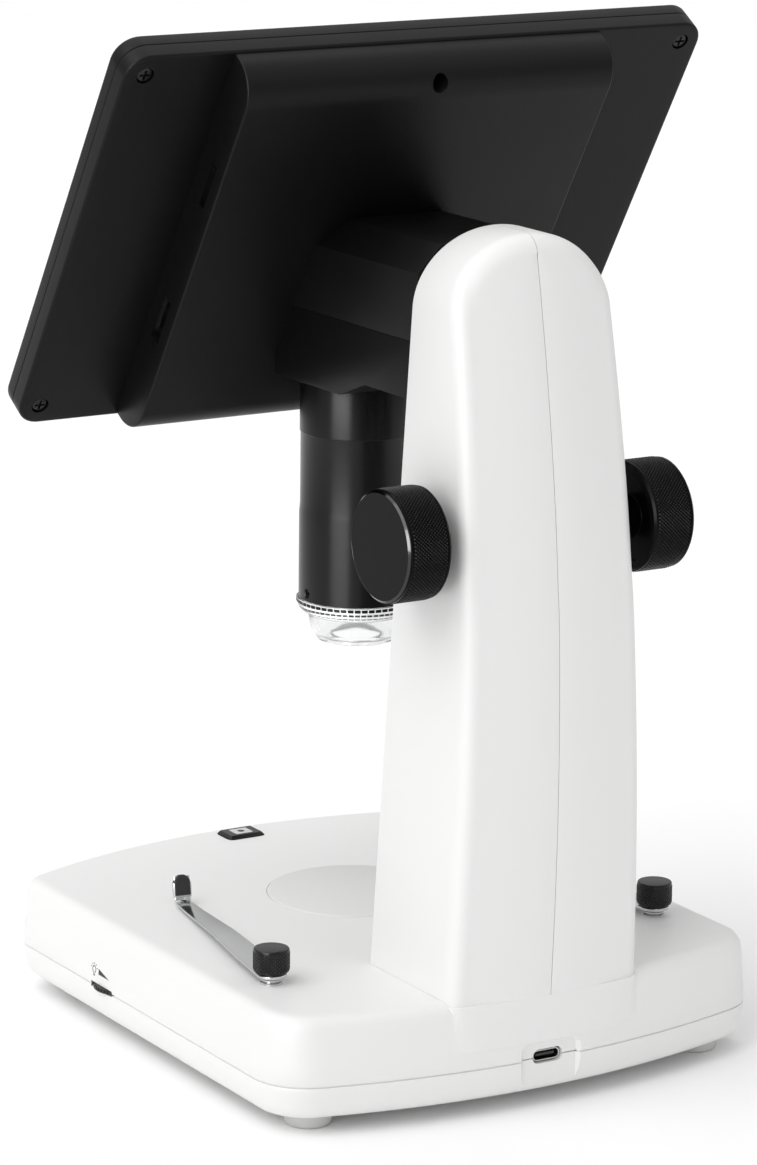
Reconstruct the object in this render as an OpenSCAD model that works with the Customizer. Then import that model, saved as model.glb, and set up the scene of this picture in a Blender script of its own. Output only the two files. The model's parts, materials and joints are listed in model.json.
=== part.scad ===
// Digital microscope: a tilted screen on a camera head that a rack and pinion lift along a stand,
// over a base with a lit stage and two spring clips.
// Millimetres. Z is up and zero is the table. The user sits on the -Y side and looks along +Y;
// the stand and the power inlet are on the +Y side. X is the user's right.

/* [Base] */
// Width of the base over its side walls
base_w = 163; // [150:1:180]
// Depth of the base at its centre line
base_d = 188; // [184:1:210]
// Height of the deck above the table
deck_z = 34.5; // [33.5:0.5:44]
// Height of the line where the two base shells meet
seam_z = 14.8; // [14:0.2:17]
// Radius of the bulged front edge
base_front_r = 190; // [130:5:300]
// Radius of the bulged back edge
base_back_r = 250; // [160:5:400]
// Radius of the two upright corners at the front
base_front_corner_r = 11; // [9:1:20]
// Radius of the two upright corners at the back
base_back_corner_r = 17; // [11:1:24]
// Chamfer round the deck
deck_chamfer = 2.7; // [1.5:0.1:4]
// How far the deck is drawn in from the foot of the side walls
deck_inset = 4.2; // [3:0.2:6]
// Wall of the base shells
base_wall = 2.4; // [2:0.1:3]
// Height of a rubber foot
foot_h = 4.5; // [3:0.2:7]
// Diameter of a rubber foot
foot_dia = 14; // [10:0.5:18]
// Shank diameter of the screws that close the base
base_screw_dia = 3; // [2.5:0.1:3.5]

/* [Stage] */
// Distance from the middle of the base forward to the optical axis
axis_forward = 14; // [10:0.5:20]
// Diameter of the diffuser disc let into the deck
disc_dia = 52; // [44:1:60]
// Thickness of the diffuser disc
disc_t = 2.2; // [1.6:0.1:3]
// Height of the disc above the deck
disc_proud = 0.4; // [0.2:0.1:0.8]
// Sideways distance of a clip post from the centre line
post_x = 65.2; // [56:0.2:68]
// Distance of the clip posts behind the middle of the base
post_y = 49.7; // [40:0.2:60]
// Length of a clip from its post to its bend
clip_len = 77.4; // [70:0.2:80]
// Width of a clip at its post
clip_w = 10; // [8:0.2:12]
// Width of a clip at its bend
clip_tip_w = 4.8; // [3.6:0.2:6]
// Thickness of the spring steel
clip_t = 0.8; // [0.6:0.1:1]
// Angle of a parked clip from straight ahead, towards the middle
clip_angle = 10; // [6:0.5:16]
// Diameter of a clip thumb knob
clip_knob_dia = 10.6; // [9:0.2:13]
// Height of a clip thumb knob
clip_knob_h = 6.9; // [5:0.1:9]

/* [Controls] */
// Width of the capture button
capture_w = 12.4; // [9:0.5:14]
// Depth of the capture button
capture_d = 9; // [7:0.2:11]
// Height of the capture button above the deck
capture_proud = 1.6; // [1:0.1:2.5]
// Diameter of the brightness wheel
wheel_dia = 20; // [17:0.5:24]
// Thickness of the brightness wheel
wheel_t = 1.6; // [1.2:0.1:2.6]
// How far the brightness wheel stands out of the wall
wheel_proud = 1.8; // [1:0.1:2.4]

/* [Stand] */
// Width of the stand at its foot
stand_foot_w = 63.8; // [58:0.2:68]
// Width of the stand below its arch
stand_top_w = 52; // [51.6:0.2:56]
// Height of the stand from its foot to the start of the arch
stand_h = 191.2; // [189:0.2:200]
// Rise of the arch above that
stand_arch = 22; // [19:0.2:26]
// Distance of the front edge of the foot behind the middle of the base
stand_front = 47.5; // [44:0.1:48]
// How much further back the front edge is at the arch
stand_front_lean = 8.8; // [8.3:0.1:9.2]
// Distance of the back of the foot behind the middle of the base
stand_back = 94; // [93:0.1:95]
// How far the back comes forward at the arch
stand_back_lean = 10.9; // [9:0.1:11.5]
// How far the back swells out above its foot
stand_belly = 1.8; // [0:0.1:3]
// How far the middle of the back stands out past its corners
stand_bulge = 2.4; // [1:0.1:4]
// Wall of the stand shells
stand_wall = 2.2; // [1.8:0.1:2.3]

/* [Focus drive] */
// Height of the focus shaft above the table
shaft_z = 163.6; // [160:0.2:170]
// Distance of the focus shaft behind the middle of the base
shaft_y = 75.6; // [75.2:0.1:76]
// Diameter of the focus shaft
shaft_dia = 5; // [4:0.5:6]
// Number of pinion teeth
pinion_teeth = 14; // [14:1:14]
// Module of the pinion and rack teeth
tooth_module = 1; // [1:0.01:1]
// Width of the rack and pinion
rack_w = 10; // [8:0.5:12]
// Number of rack teeth
rack_teeth = 25; // [24:1:26]
// Diameter of a focus knob
knob_dia = 31; // [28:0.5:36]
// Width of a focus knob
knob_w = 12; // [10:0.5:15]
// Distance from the centre line to the outer face of a focus knob
knob_face_x = 46.3; // [45:0.1:50]

/* [Head] */
// Width of the camera head
head_w = 47; // [44:0.2:47]
// Height of the underside of the head above the table
head_z = 193; // [191:0.5:195]
// Height of the head from its underside to its flat top
head_h = 48.7; // [46:0.1:49]
// Width and height of the chamfers along the top of the head
head_chamfer = 7.6; // [4:0.5:8]
// Height of the joint between the head shells above the underside
head_joint = 21.5; // [18:0.5:24]
// Wall of the head shells
head_wall = 2.4; // [2:0.1:2.8]
// Diameter of the lens tube
tube_dia = 34.4; // [32:0.2:35]
// Height of the lower rim of the lens tube above the table
tube_z = 124.6; // [120:0.2:132]
// Wall of the lens tube
tube_wall = 2; // [1.6:0.1:2.4]

/* [Screen] */
// Width of the screen case
screen_w = 190; // [180:0.2:200]
// Height of the screen case along its slope
screen_h = 134; // [128:0.5:142]
// Lean of the screen back from upright, degrees
screen_lean = 31.8; // [31:0.1:32.5]
// Height of the middle of the screen case above the table
screen_z = 236.7; // [235:0.1:238]
// Distance of the middle of the screen case in front of the middle of the base
screen_forward = 13.3; // [12.8:0.1:14]
// Thickness of the rear shell at its rim
rear_rim_t = 5; // [4:0.1:6]
// Thickness of the front bezel
bezel_t = 5; // [4:0.1:6]
// Corner radius of the screen case
screen_corner_r = 7.5; // [6:0.5:12]
// Width of the raised housing on the back
housing_w = 120.4; // [110:0.2:126]
// Depth of the raised housing behind the rim
housing_t = 13; // [12.5:0.1:14]
// Wall of the screen shells
screen_wall = 2.2; // [1.8:0.1:2.6]
// Diameter of the round buttons beside the display
key_dia = 7; // [5:0.5:8]
// Spacing of the round buttons
key_pitch = 15; // [11:0.5:17]

/* [Hidden] */
$fn = 64;
eps = 0.01;
// Gap between pieces that move past each other without touching
clear = 0.3;
// Gap on the radius of a turning fit
run = 0.05;

// Base, worked out
axis_y = -axis_forward;
skin_z = deck_z - base_wall;
floor_t = 2.4;
floor_z = foot_h;
floor_top = floor_z + floor_t;
edge_draft = 1.1;
deck_round = deck_inset - edge_draft;
floor_inset = 5;
floor_wall = base_wall + 1.8;
seam_gap = 0.4;
screw_head_dia = base_screw_dia * 1.85;
screw_head_h = 2;
foot_sink = 0.8;
foot_x = base_w / 2 - 16;
foot_front = -base_d / 2 + 26.8;
foot_back = base_d / 2 - 23;
foot_spots = [for (sx = [-1, 1]) for (y = [foot_front, foot_back]) [sx * foot_x, y]];
boss_x = base_w / 2 - 13;
boss_spots = [[-boss_x, -48], [boss_x, -58], [-boss_x, 30], [boss_x, 30]];
boss_r = base_screw_dia / 2 + 2;
board_t = 1.6;
usb_z = seam_z + 0.2;
usb_w = 8.94;
usb_h = 3.26;
usb_len = 7.4;
board_z = usb_z - usb_h / 2 - board_t;
main_w = 56;
main_d = 40;
main_back = base_d / 2 - floor_wall - 2.2;
main_holes = [for (sx = [-1, 1]) for (f = [0.12, 0.88]) [sx * (main_w / 2 - 5), main_back - main_d * f]];
recess_w = 15.6;
recess_t = 1.4;
recess_bevel = 2.2;
recess_top = seam_z + 5;
wheel_x = base_w / 2 + wheel_proud - wheel_dia / 2;
wheel_y = -21.6;
wheel_pin_dia = 3;
pot_w = 12;

// Stage, worked out
disc_r = disc_dia / 2;
disc_lip = 2.4;
lamp_drop = 9;
lamp_t = 1.2;
capture_y = -base_d / 2 + 11.6;
capture_r = 2;
capture_travel = 0.5;
switch_z = deck_z - 9.2;

// Clips, worked out
collar_h = 2.1;
collar_dia = 6.6;
stud_dia = 3;
blade_z = deck_z + collar_h + 0.1;
blade_low = deck_z + disc_proud + clear;
clip_knob_z = blade_z + clip_t + 0.1;
tip_h = 8;
tip_lean = 10;
sleeve_t = 0.7;

// Stand, worked out. Height h is measured from the foot.
foot_z = deck_z - 1.2;
stand_round = 5;
stand_rim_round = 1.2;
stand_top_round = 7;
lean_from = 105;
lean_span = stand_h - lean_from;
slice_t = 0.02;
split_gap = 0.1;
plinth_step = 0.7;
foot_plate_t = 3.4;
stand_screw_spots = [for (sx = [-1, 1]) for (y = [stand_front + 8, stand_back - 12]) [sx * 17, y]];
function stand_half(h, inset) = stand_top_w / 2 - inset
    + (stand_foot_w - stand_top_w) / 2 * max(0, 1 - h / stand_h);
function stand_front_y(h) = stand_front + stand_front_lean * h / stand_h;
function stand_back_y(h) = stand_back + stand_belly * sin(180 * min(1, h / stand_h / 0.62))
    - stand_back_lean * pow(max(0, h - lean_from) / lean_span, 1.5);
function round_back(h, top, r) = h < top - r ? 0 : r - sqrt(max(0, r * r - pow(h - top + r, 2)));

// Focus drive, worked out
pressure_angle = 25;
backlash = 0.12;
pitch_r = pinion_teeth * tooth_module / 2;
tooth_pitch = PI * tooth_module;
addendum = tooth_module;
dedendum = 1.25 * tooth_module;
rack_pitch_y = shaft_y - pitch_r;
rack_root_y = rack_pitch_y - dedendum;
rack_back_t = 3.2;
slide_back = rack_root_y - rack_back_t;
slide_t = 3.2;
slide_front = slide_back - slide_t;
slide_half = 20.8;
slide_len = rack_teeth * tooth_pitch;
slide_z = shaft_z - 4 * tooth_pitch;
lip_half = 18.5;
neck_half = lip_half - 1;
rail_half = 22.6;
rail_front = slide_front - clear - 2.7;
rail_back = slide_back + clear + 3;
rail_z = 84;
rail_len = foot_z + stand_h + 2.5 - rail_z;
rib_spots = [rail_z + 4, (rail_z + shaft_z) / 2, shaft_z + 38];
rib_t = 5;
bush_hole_dia = shaft_dia + 4;
bush_flange_dia = bush_hole_dia + 5;
hub_dia = bush_flange_dia - 2;
knob_back_x = knob_face_x - knob_w;
side_x = stand_half(shaft_z - foot_z, 0);
bush_out_x = side_x + 2.6;
cover_top = rail_z + 3;

// Head, worked out
head_top = head_z + head_h;
head_rear = stand_front + stand_front_lean - 0.6;
head_step_y = 14;
head_step_rear = 28;
head_step_h = 5.2;
joint_z = head_z + head_joint;
tube_r = tube_dia / 2;
barrel_r = 9;
ring_r = tube_r + 0.6;
ring_drop = 11.6;

// Screen, worked out. The screen frame has its origin in the middle of the rear face of the rim:
// x to the user's right, y up the slope, z out of the display.
case_t = rear_rim_t + bezel_t;
seat_off = housing_t;
housing_x = 1.8;
housing_side = housing_x + housing_w / 2;
glass_margin = 3;
key_strip = 17;
glass_w = screen_w - glass_margin - key_strip;
glass_h = screen_h - 28;
glass_t = 1;
glass_x = -screen_w / 2 + glass_margin + glass_w / 2;
display_x = glass_x - 1;
display_w = glass_w - 5;
display_h = glass_h - 6;
display_t = 3.2;
corner_screw = [screen_w / 2 - 6.6, screen_h / 2 - 6.7];
screen_screw_dia = 2.6;
key_x = screen_w / 2 - key_strip / 2 - 0.6;
key_board_w = key_strip - 7;
board_half_h = screen_h / 2 - 17;
board_spots = [for (sx = [-1, 1]) for (sy = [-1, 1]) [sx * housing_w / 4, sy * (screen_h / 2 - 25)]];
key_travel = 0.5;
key_proud = 0.8;
screen_board_z = -10.2;
card_y = 25.3;
card_w = 14.6;
card_h = 2.2;
video_y = -24.8;
video_w = 15;
video_h = 4.6;
mount_spots = [for (sx = [-1, 1]) for (y = [-30, -8]) [sx * 14, y]];

// ------------------------------------------------------------------ shared shapes

module screen_frame() translate([0, -screen_forward, screen_z]) rotate([90 - screen_lean, 0, 0]) children();

module both() { children(); mirror([1, 0, 0]) children(); }

module rounded_plate(w, d, r, t) linear_extrude(t) rounded_rect(w, d, r);

module rounded_rect(w, d, r) {
    square([w - 2 * r, d], center = true);
    square([w, d - 2 * r], center = true);
    for (sx = [-1, 1]) for (sy = [-1, 1]) translate([sx * (w / 2 - r), sy * (d / 2 - r)]) circle(r);
}

module post(spot, z, h, d) translate([spot[0], spot[1], z]) cylinder(d = d, h = h);

module screw(d, len, head_d, head_h) {
    cylinder(d = d, h = len);
    translate([0, 0, -head_h]) difference() {
        cylinder(d = head_d, h = head_h);
        for (a = [0, 90]) rotate(a) translate([-head_d * 0.3, -head_d * 0.07, -eps])
            cube([head_d * 0.6, head_d * 0.14, head_h * 0.5]);
    }
}

// Points of an arc, leaving out skip points at each end
function arc(c, r, a0, a1, n, skip = 0) = [for (i = [skip : n - skip])
    c + r * [cos(a0 + (a1 - a0) * i / n), sin(a0 + (a1 - a0) * i / n)]];

// Plan of the base, drawn in all round by inset: two bulged edges, two straight sides, round corners
function base_outline(inset) = let(
    w = base_w / 2 - inset,
    rcf = base_front_corner_r - inset,
    rcb = base_back_corner_r - inset,
    rb = base_back_r - inset,
    rf = base_front_r - inset,
    cb = base_d / 2 - base_back_r,
    cf = base_front_r - base_d / 2,
    xb = w - rcb,
    xf = w - rcf,
    yb = cb + sqrt(pow(rb - rcb, 2) - xb * xb),
    yf = cf - sqrt(pow(rf - rcf, 2) - xf * xf),
    ab = atan2(yb - cb, xb),
    af = atan2(cf - yf, xf))
    concat(arc([xf, yf], rcf, -af, 0, 8), arc([xb, yb], rcb, 0, ab, 8),
        arc([0, cb], rb, ab, 180 - ab, 16, 1), arc([-xb, yb], rcb, 180 - ab, 180, 8),
        arc([-xf, yf], rcf, 180, 180 + af, 8), arc([0, cf], rf, 180 + af, 360 - af, 16, 1));

module base_prism(inset, z, h) translate([0, 0, z]) linear_extrude(h) polygon(base_outline(inset));

// ------------------------------------------------------------------ base

// Section of the stand: round corners, and a back that bulges to its middle
module stand_section(half, front, back, rb, rf) for (side = [-1, 1]) {
    translate([side * (half - rb), back - stand_bulge - rb]) circle(rb, $fn = 32);
    translate([side * (half - rb) * 0.45, back - stand_bulge * 0.2 - rb]) circle(rb, $fn = 32);
    translate([side * (half - rf), front + rf]) circle(rf, $fn = 16);
    translate([0, back - rb]) circle(rb, $fn = 32);
}

module stand_plan(grow) hull() stand_section(stand_foot_w / 2 + grow, stand_front - grow, stand_back + grow,
    stand_round + grow, stand_rim_round + grow);

module base_top_shell() color("whitesmoke") difference() {
    union() {
        hull() {
            base_prism(0, seam_z, eps);
            base_prism(edge_draft, deck_z - deck_chamfer, eps);
            base_prism(edge_draft + deck_round * 0.3, deck_z - deck_chamfer * 0.5, eps);
            base_prism(edge_draft + deck_round * 0.62, deck_z - deck_chamfer * 0.2, eps);
            base_prism(deck_inset, deck_z - eps, eps);
        }
        intersection() {
            translate([0, 0, deck_z - deck_chamfer - 2]) linear_extrude(deck_chamfer + 0.8)
                stand_plan(plinth_step);
            base_prism(0, seam_z, deck_z - seam_z);
        }
    }
    difference() {
        base_prism(base_wall + edge_draft, seam_z - eps, skin_z - seam_z);
        for (spot = boss_spots) post(spot, seam_z - 1, deck_z, 2 * boss_r);
        for (spot = stand_screw_spots) post(spot, skin_z - 4, deck_z, 2 * boss_r + 1);
        translate([0, axis_y, skin_z - lamp_drop]) cylinder(d = disc_dia + 2, h = deck_z);
        for (sx = [-1, 1]) translate([sx * (capture_w / 2 + 3), capture_y, switch_z])
            cylinder(d = 4, h = deck_z);
        for (sx = [-1, 1]) post([sx * post_x, post_y], skin_z - 4, 8, 8);
    }
    for (spot = boss_spots) post(spot, seam_z - 2, skin_z - seam_z, base_screw_dia * 0.85);
    for (spot = stand_screw_spots) {
        post(spot, seam_z, deck_z, base_screw_dia + 0.3);
        post(spot, skin_z - 5, 4, screw_head_dia + 0.4);
    }
    for (sx = [-1, 1]) post([sx * post_x, post_y], skin_z - 5, deck_z, stud_dia);
    translate([0, 0, foot_z]) linear_extrude(deck_z) stand_plan(clear / 3);
    translate([0, (stand_front + stand_back) / 2, seam_z]) cylinder(d = 12, h = deck_z);
    translate([0, axis_y, deck_z + disc_proud - disc_t]) cylinder(d = disc_dia + 0.2, h = deck_z);
    translate([0, axis_y, seam_z]) cylinder(d = disc_dia - 2 * disc_lip, h = deck_z);
    translate([0, capture_y, seam_z])
        rounded_plate(capture_w + 2 * clear, capture_d + 2 * clear, capture_r, 30);
    translate([0, axis_y, skin_z - lamp_drop - eps]) cylinder(d = disc_dia - disc_lip, h = lamp_t + eps);
    wheel_slot();
    usb_recess();
}

module wheel_slot() translate([wheel_x, wheel_y, seam_z - wheel_t / 2 - clear])
    cylinder(d = wheel_dia + 4 * clear, h = wheel_t + 2 * clear);

// Outline of the recess at one depth: straight sides and two corners cut off at the top
module recess_face(w, h, corner) rotate([-90, 0, 0]) mirror([0, 1, 0]) linear_extrude(eps)
    polygon([[-w / 2, 0], [w / 2, 0], [w / 2, h - corner], [w / 2 - corner, h], [corner - w / 2, h],
        [-w / 2, h - corner]]);

// Shallow bevelled recess round the power inlet, and the slot that the plug goes through
module usb_recess() {
    top = recess_top - floor_z + 1;
    translate([0, base_d / 2 - recess_t, floor_z - 1]) hull() {
        recess_face(recess_w, top - 0.8, 1.2);
        translate([0, recess_t + 1, 0]) recess_face(recess_w + 2 * recess_bevel, top + 0.8, 2.4);
    }
    translate([0, base_d / 2 - 8, usb_z]) rotate([-90, 0, 0])
        rounded_plate(usb_w + 0.6, usb_h + 0.6, 1.6, 20);
}

module base_bottom_shell() color("gainsboro") difference() {
    union() {
        difference() {
            union() {
                hull() {
                    base_prism(floor_inset, floor_z, eps);
                    base_prism(floor_inset * 0.45, floor_z + 1.2, eps);
                    base_prism(0.6, floor_z + 4.5, eps);
                    base_prism(0, seam_z - seam_gap - eps, eps);
                }
                base_prism(seam_gap, seam_z - seam_gap - eps, seam_gap + eps);
            }
            base_prism(floor_wall, floor_top, seam_z);
        }
        for (spot = boss_spots) post(spot, floor_z, seam_z - floor_z, 2 * boss_r + 2);
        for (spot = main_holes) post(spot, floor_z, board_z - floor_z, 6);
        translate([wheel_x - pot_w + 2.5, wheel_y - pot_w / 2, floor_z])
            cube([pot_w, pot_w, seam_z - wheel_t / 2 - clear - 2.4 - floor_z]);
        for (spot = foot_spots) post(spot, floor_z, floor_t + foot_sink, foot_dia + 4);
    }
    for (spot = boss_spots) {
        post(spot, floor_z - 1, seam_z, base_screw_dia + 0.3);
        post(spot, floor_z - 1, seam_z - floor_z - 3.6, screw_head_dia + 0.6);
    }
    for (spot = foot_spots) post(spot, floor_z - eps, foot_sink + eps, foot_dia + 0.2);
    for (spot = main_holes) post(spot, board_z - 4, 5, 2.4);
    wheel_slot();
    usb_recess();
}

module base_feet() color("gainsboro") for (spot = foot_spots) translate([spot[0], spot[1], 0]) {
    cylinder(d1 = foot_dia - 2, d2 = foot_dia, h = 1);
    translate([0, 0, 1]) cylinder(d = foot_dia, h = foot_h + foot_sink - 1);
}

module base_screws() color("silver") for (spot = boss_spots)
    translate([spot[0], spot[1], seam_z - 4.6])
        screw(base_screw_dia * 0.85, 13, screw_head_dia, screw_head_h);

module stage_disc() color("lightgray") translate([0, axis_y, deck_z + disc_proud - disc_t]) {
    cylinder(r = disc_r, h = disc_t - 0.4);
    translate([0, 0, disc_t - 0.4]) cylinder(r1 = disc_r, r2 = disc_r - 0.4, h = 0.4);
}

module stage_led_board() color("white") translate([0, axis_y, skin_z - lamp_drop]) {
    cylinder(d = disc_dia - disc_lip - 0.2, h = lamp_t);
    for (ring = [[6, 6], [12, 14]]) for (i = [0 : ring[0] - 1]) rotate(i * 360 / ring[0])
        translate([ring[1] - 1.4, -1.4, lamp_t]) cube([2.8, 2.8, 0.8]);
}

module main_board() color("seagreen") difference() {
    union() {
        translate([-main_w / 2, main_back - main_d, board_z]) cube([main_w, main_d, board_t]);
        translate([-18, main_back - 24, board_z + board_t]) cube([9, 9, 1.2]);
        translate([6, main_back - 22, board_z + board_t]) cube([12, 7, 4]);
        for (x = [-12, 2, 13]) post([x, main_back - 32], board_z + board_t, 6, 5);
    }
    for (spot = main_holes) post(spot, board_z - 1, 4, 2.5);
}

module main_board_screws() color("silver") for (spot = main_holes)
    translate([spot[0], spot[1], board_z + board_t]) mirror([0, 0, 1]) screw(2.4, 5, 4.4, 1.4);

module usb_c_socket() color("silver") translate([0, base_d / 2 - recess_t - 0.8, usb_z])
    rotate([90, 0, 0]) difference() {
        rounded_plate(usb_w, usb_h, 1.5, usb_len);
        translate([0, 0, -eps]) difference() {
            rounded_plate(usb_w - 0.7, usb_h - 0.7, 1.2, usb_len - 1.4);
            translate([-3.1, -0.35, 0.6]) cube([6.2, 0.7, usb_len]);
        }
    }

module dimmer_pot() color("darkslategray") {
    translate([wheel_x - pot_w + 3.5, wheel_y - pot_w / 2 + 1, seam_z - wheel_t / 2 - clear - 2.4])
        cube([pot_w, pot_w - 2, 2.4]);
    post([wheel_x, wheel_y], seam_z - wheel_t / 2 - clear, wheel_t + clear + 1, wheel_pin_dia);
}

module dimmer_wheel() color("dimgray") translate([wheel_x, wheel_y, seam_z - wheel_t / 2]) difference() {
    cylinder(d = wheel_dia, h = wheel_t);
    translate([0, 0, -eps]) cylinder(d = wheel_pin_dia + 2 * run, h = wheel_t + 1);
    for (i = [0 : 35]) rotate(i * 10) translate([wheel_dia / 2, 0, -eps]) rotate(45)
        translate([-0.35, -0.35, 0]) cube([0.7, 0.7, wheel_t + 1]);
}

module capture_button() color("black") translate([0, capture_y, 0]) {
    translate([0, 0, skin_z - 1.2 - clear])
        rounded_plate(capture_w, capture_d, capture_r, base_wall + 1.2 + clear + capture_proud / 2);
    translate([0, 0, skin_z - 1.2 - clear]) rounded_plate(capture_w + 2, capture_d + 2, capture_r, 1.2);
    hull() {
        translate([0, 0, deck_z + capture_proud / 2 - eps])
            rounded_plate(capture_w, capture_d, capture_r, eps);
        translate([0, 0, deck_z + capture_proud - eps])
            rounded_plate(capture_w - 2.4, capture_d - 2.4, capture_r - 1.2, eps);
    }
    translate([0, 0, switch_z + 4.2 + capture_travel])
        cylinder(d = 3.4, h = deck_z - base_wall - switch_z - 4.7);
}

module capture_switch() color("black") translate([0, capture_y, 0]) {
    translate([-capture_w / 2 - 6, -4, switch_z - lamp_t]) cube([capture_w + 12, 8, lamp_t]);
    translate([-3, -3, switch_z]) cube([6, 6, 3.4]);
    translate([0, 0, switch_z + 3.4]) cylinder(d = 3.4, h = 0.8 - clear + 0.05);
}

// ------------------------------------------------------------------ clips
// A clip is drawn at its post with the blade along +x, at the deck's own height.

module at_post(side) translate([side * post_x, post_y, 0]) children();

module clip_turn(side) at_post(side) rotate(-90 - side * clip_angle) children();

module clip_posts() color("silver") for (side = [-1, 1]) at_post(side) {
    translate([0, 0, skin_z - 3]) cylinder(d = stud_dia, h = deck_z - skin_z + 3 + collar_h + clip_t + 4);
    translate([0, 0, deck_z]) cylinder(d = collar_dia + 1, h = 0.8);
    translate([0, 0, deck_z + 0.8]) cylinder(d = collar_dia, h = collar_h - 0.8);
}

// Side view of the strip: flat at the post, an easy slope down, a round bend and a turned-up tip
clip_path = [[-clip_w / 2, blade_z], [clip_len * 0.45, blade_z], [clip_len * 0.62, blade_z - 0.35],
    [clip_len * 0.86, blade_low + 0.1], [clip_len - 1.6, blade_low], [clip_len - 0.5, blade_low + 0.4],
    [clip_len + tip_h * sin(tip_lean), blade_low + tip_h]];
path_n = len(clip_path) - 1;
function seg_dir(i) = let(d = clip_path[i + 1] - clip_path[i]) d / norm(d);
function path_dir(i) = i == 0 ? seg_dir(0) : i == len(clip_path) - 1 ? seg_dir(i - 1)
    : let(d = seg_dir(i - 1) + seg_dir(i)) d / norm(d);
function path_side(i, t) = let(d = path_dir(i)) clip_path[i] + t * [-d[1], d[0]];

function path_edge(i, t, extra) = path_side(i, t) + (i == path_n ? extra : 0) * seg_dir(path_n - 1);

module clip_strip(low, high, extra = 0)
    rotate([90, 0, 0]) translate([0, 0, -clip_w]) linear_extrude(2 * clip_w)
        polygon(concat([for (i = [0 : path_n]) path_edge(i, low, extra)],
            [for (i = [path_n : -1 : 0]) path_edge(i, high, extra)]));

module clip_plan(grow) {
    circle(clip_w / 2 + grow);
    wide = clip_w / 2 + grow;
    slim = clip_tip_w / 2 + grow;
    polygon([[0, -wide], [clip_len, -slim], [clip_len + 6, -slim],
        [clip_len + 6, slim], [clip_len, slim], [0, wide]]);
}

module clip_blade(side) color("silver") clip_turn(side) difference() {
    intersection() {
        clip_strip(0, clip_t);
        linear_extrude(200) clip_plan(0);
    }
    cylinder(d = stud_dia + 2 * run, h = 200);
}

module clip_sleeve(side) color("black") clip_turn(side) difference() {
    intersection() {
        clip_strip(-sleeve_t, clip_t + sleeve_t, sleeve_t);
        translate([clip_len - 2, -clip_tip_w / 2 - sleeve_t, blade_low + 1.8])
            cube([8, clip_tip_w + 2 * sleeve_t, tip_h]);
    }
    intersection() {
        clip_strip(0, clip_t);
        linear_extrude(200) clip_plan(0);
    }
}

module clip_knob(side) color("black") at_post(side) translate([0, 0, clip_knob_z]) difference() {
    union() {
        cylinder(d1 = clip_knob_dia - 1, d2 = clip_knob_dia, h = 0.5);
        translate([0, 0, 0.5]) cylinder(d = clip_knob_dia, h = clip_knob_h - 1);
        translate([0, 0, clip_knob_h - 0.5]) cylinder(d1 = clip_knob_dia, d2 = clip_knob_dia - 1, h = 0.5);
    }
    translate([0, 0, -eps]) cylinder(d = stud_dia + 2 * run, h = clip_knob_h - 1.6);
}

// ------------------------------------------------------------------ stand

module stand_slice(h, inset, front, half, back) translate([0, 0, foot_z + h]) linear_extrude(slice_t)
    stand_section(half, front, back, min(stand_round, half * 0.8), min(stand_rim_round, half * 0.8));

// The stand as one rounded body; the inner body is drawn in by the wall and reaches out at the front
module stand_body(inset, reach, low = 0) hull() {
    top = stand_h + stand_arch - inset;
    for (i = [0 : 8]) let(h = i == 0 ? -low : stand_h * i / 8)
        stand_slice(h, inset, stand_front_y(h) - reach, stand_half(h, inset), stand_back_y(h) - inset);
    for (a = [16, 32, 48, 60, 70, 78, 85]) let(h = stand_h + (stand_arch - inset) * sin(a))
        stand_slice(h, inset, stand_front_y(h) - reach, (stand_top_w / 2 - inset) * cos(a),
            stand_back_y(h) - inset - round_back(h, top, stand_top_round));
}

module stand_shell(side) color("whitesmoke") difference() {
    union() {
        difference() {
            stand_body(0, 0);
            stand_body(stand_wall, 12, 1);
        }
        intersection() {
            stand_body(0, 0);
            union() {
                translate([-50, stand_front + 5, foot_z]) cube([100, 60, foot_plate_t]);
                for (z = rib_spots)
                    translate([side * 50 - 50 + side * (rail_half + 0.1), rail_front + 0.6, z])
                        cube([100, rail_back - rail_front - 0.6, rib_t]);
                for (spot = stand_screw_spots) post(spot, foot_z, 11, 2 * boss_r + 1);
                translate([side * (rail_half + 3), shaft_y, shaft_z]) rotate([0, side * 90, 0])
                    cylinder(d = bush_flange_dia, h = 20);
            }
        }
    }
    translate([side * -50 + side * split_gap, 50, 100]) cube([100, 200, 400], center = true);
    for (spot = stand_screw_spots) post(spot, foot_z - 1, 11, base_screw_dia * 0.85);
    translate([0, (stand_front + stand_back) / 2, foot_z - 1]) cylinder(d = 12, h = 10);
    translate([0, shaft_y, shaft_z]) rotate([0, side * 90, 0]) cylinder(d = bush_hole_dia, h = 60);
}

// Plate that closes the front of the stand below the slide
module stand_front_cover() color("whitesmoke") hull() for (z = [foot_plate_t, cover_top - foot_z])
    translate([0, stand_front_y(z) + 1.2, foot_z + z]) translate([-stand_half(z, stand_wall + 0.15), 0, 0])
        cube([2 * stand_half(z, stand_wall + 0.15), 2.2, eps]);

module stand_screws() color("silver") for (spot = stand_screw_spots)
    translate([spot[0], spot[1], skin_z - 1]) screw(base_screw_dia * 0.85, 11, screw_head_dia, screw_head_h);

module guide_rail(side) color("darkgray") scale_x(side) difference() {
    translate([lip_half, rail_front, rail_z]) cube([rail_half - lip_half, rail_back - rail_front, rail_len]);
    translate([lip_half - 1, slide_front - clear, rail_z - 1])
        cube([slide_half + clear - lip_half + 1, slide_t + 2 * clear, rail_len + 2]);
}

module scale_x(side) mirror([side > 0 ? 0 : 1, 0, 0]) children();

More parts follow.
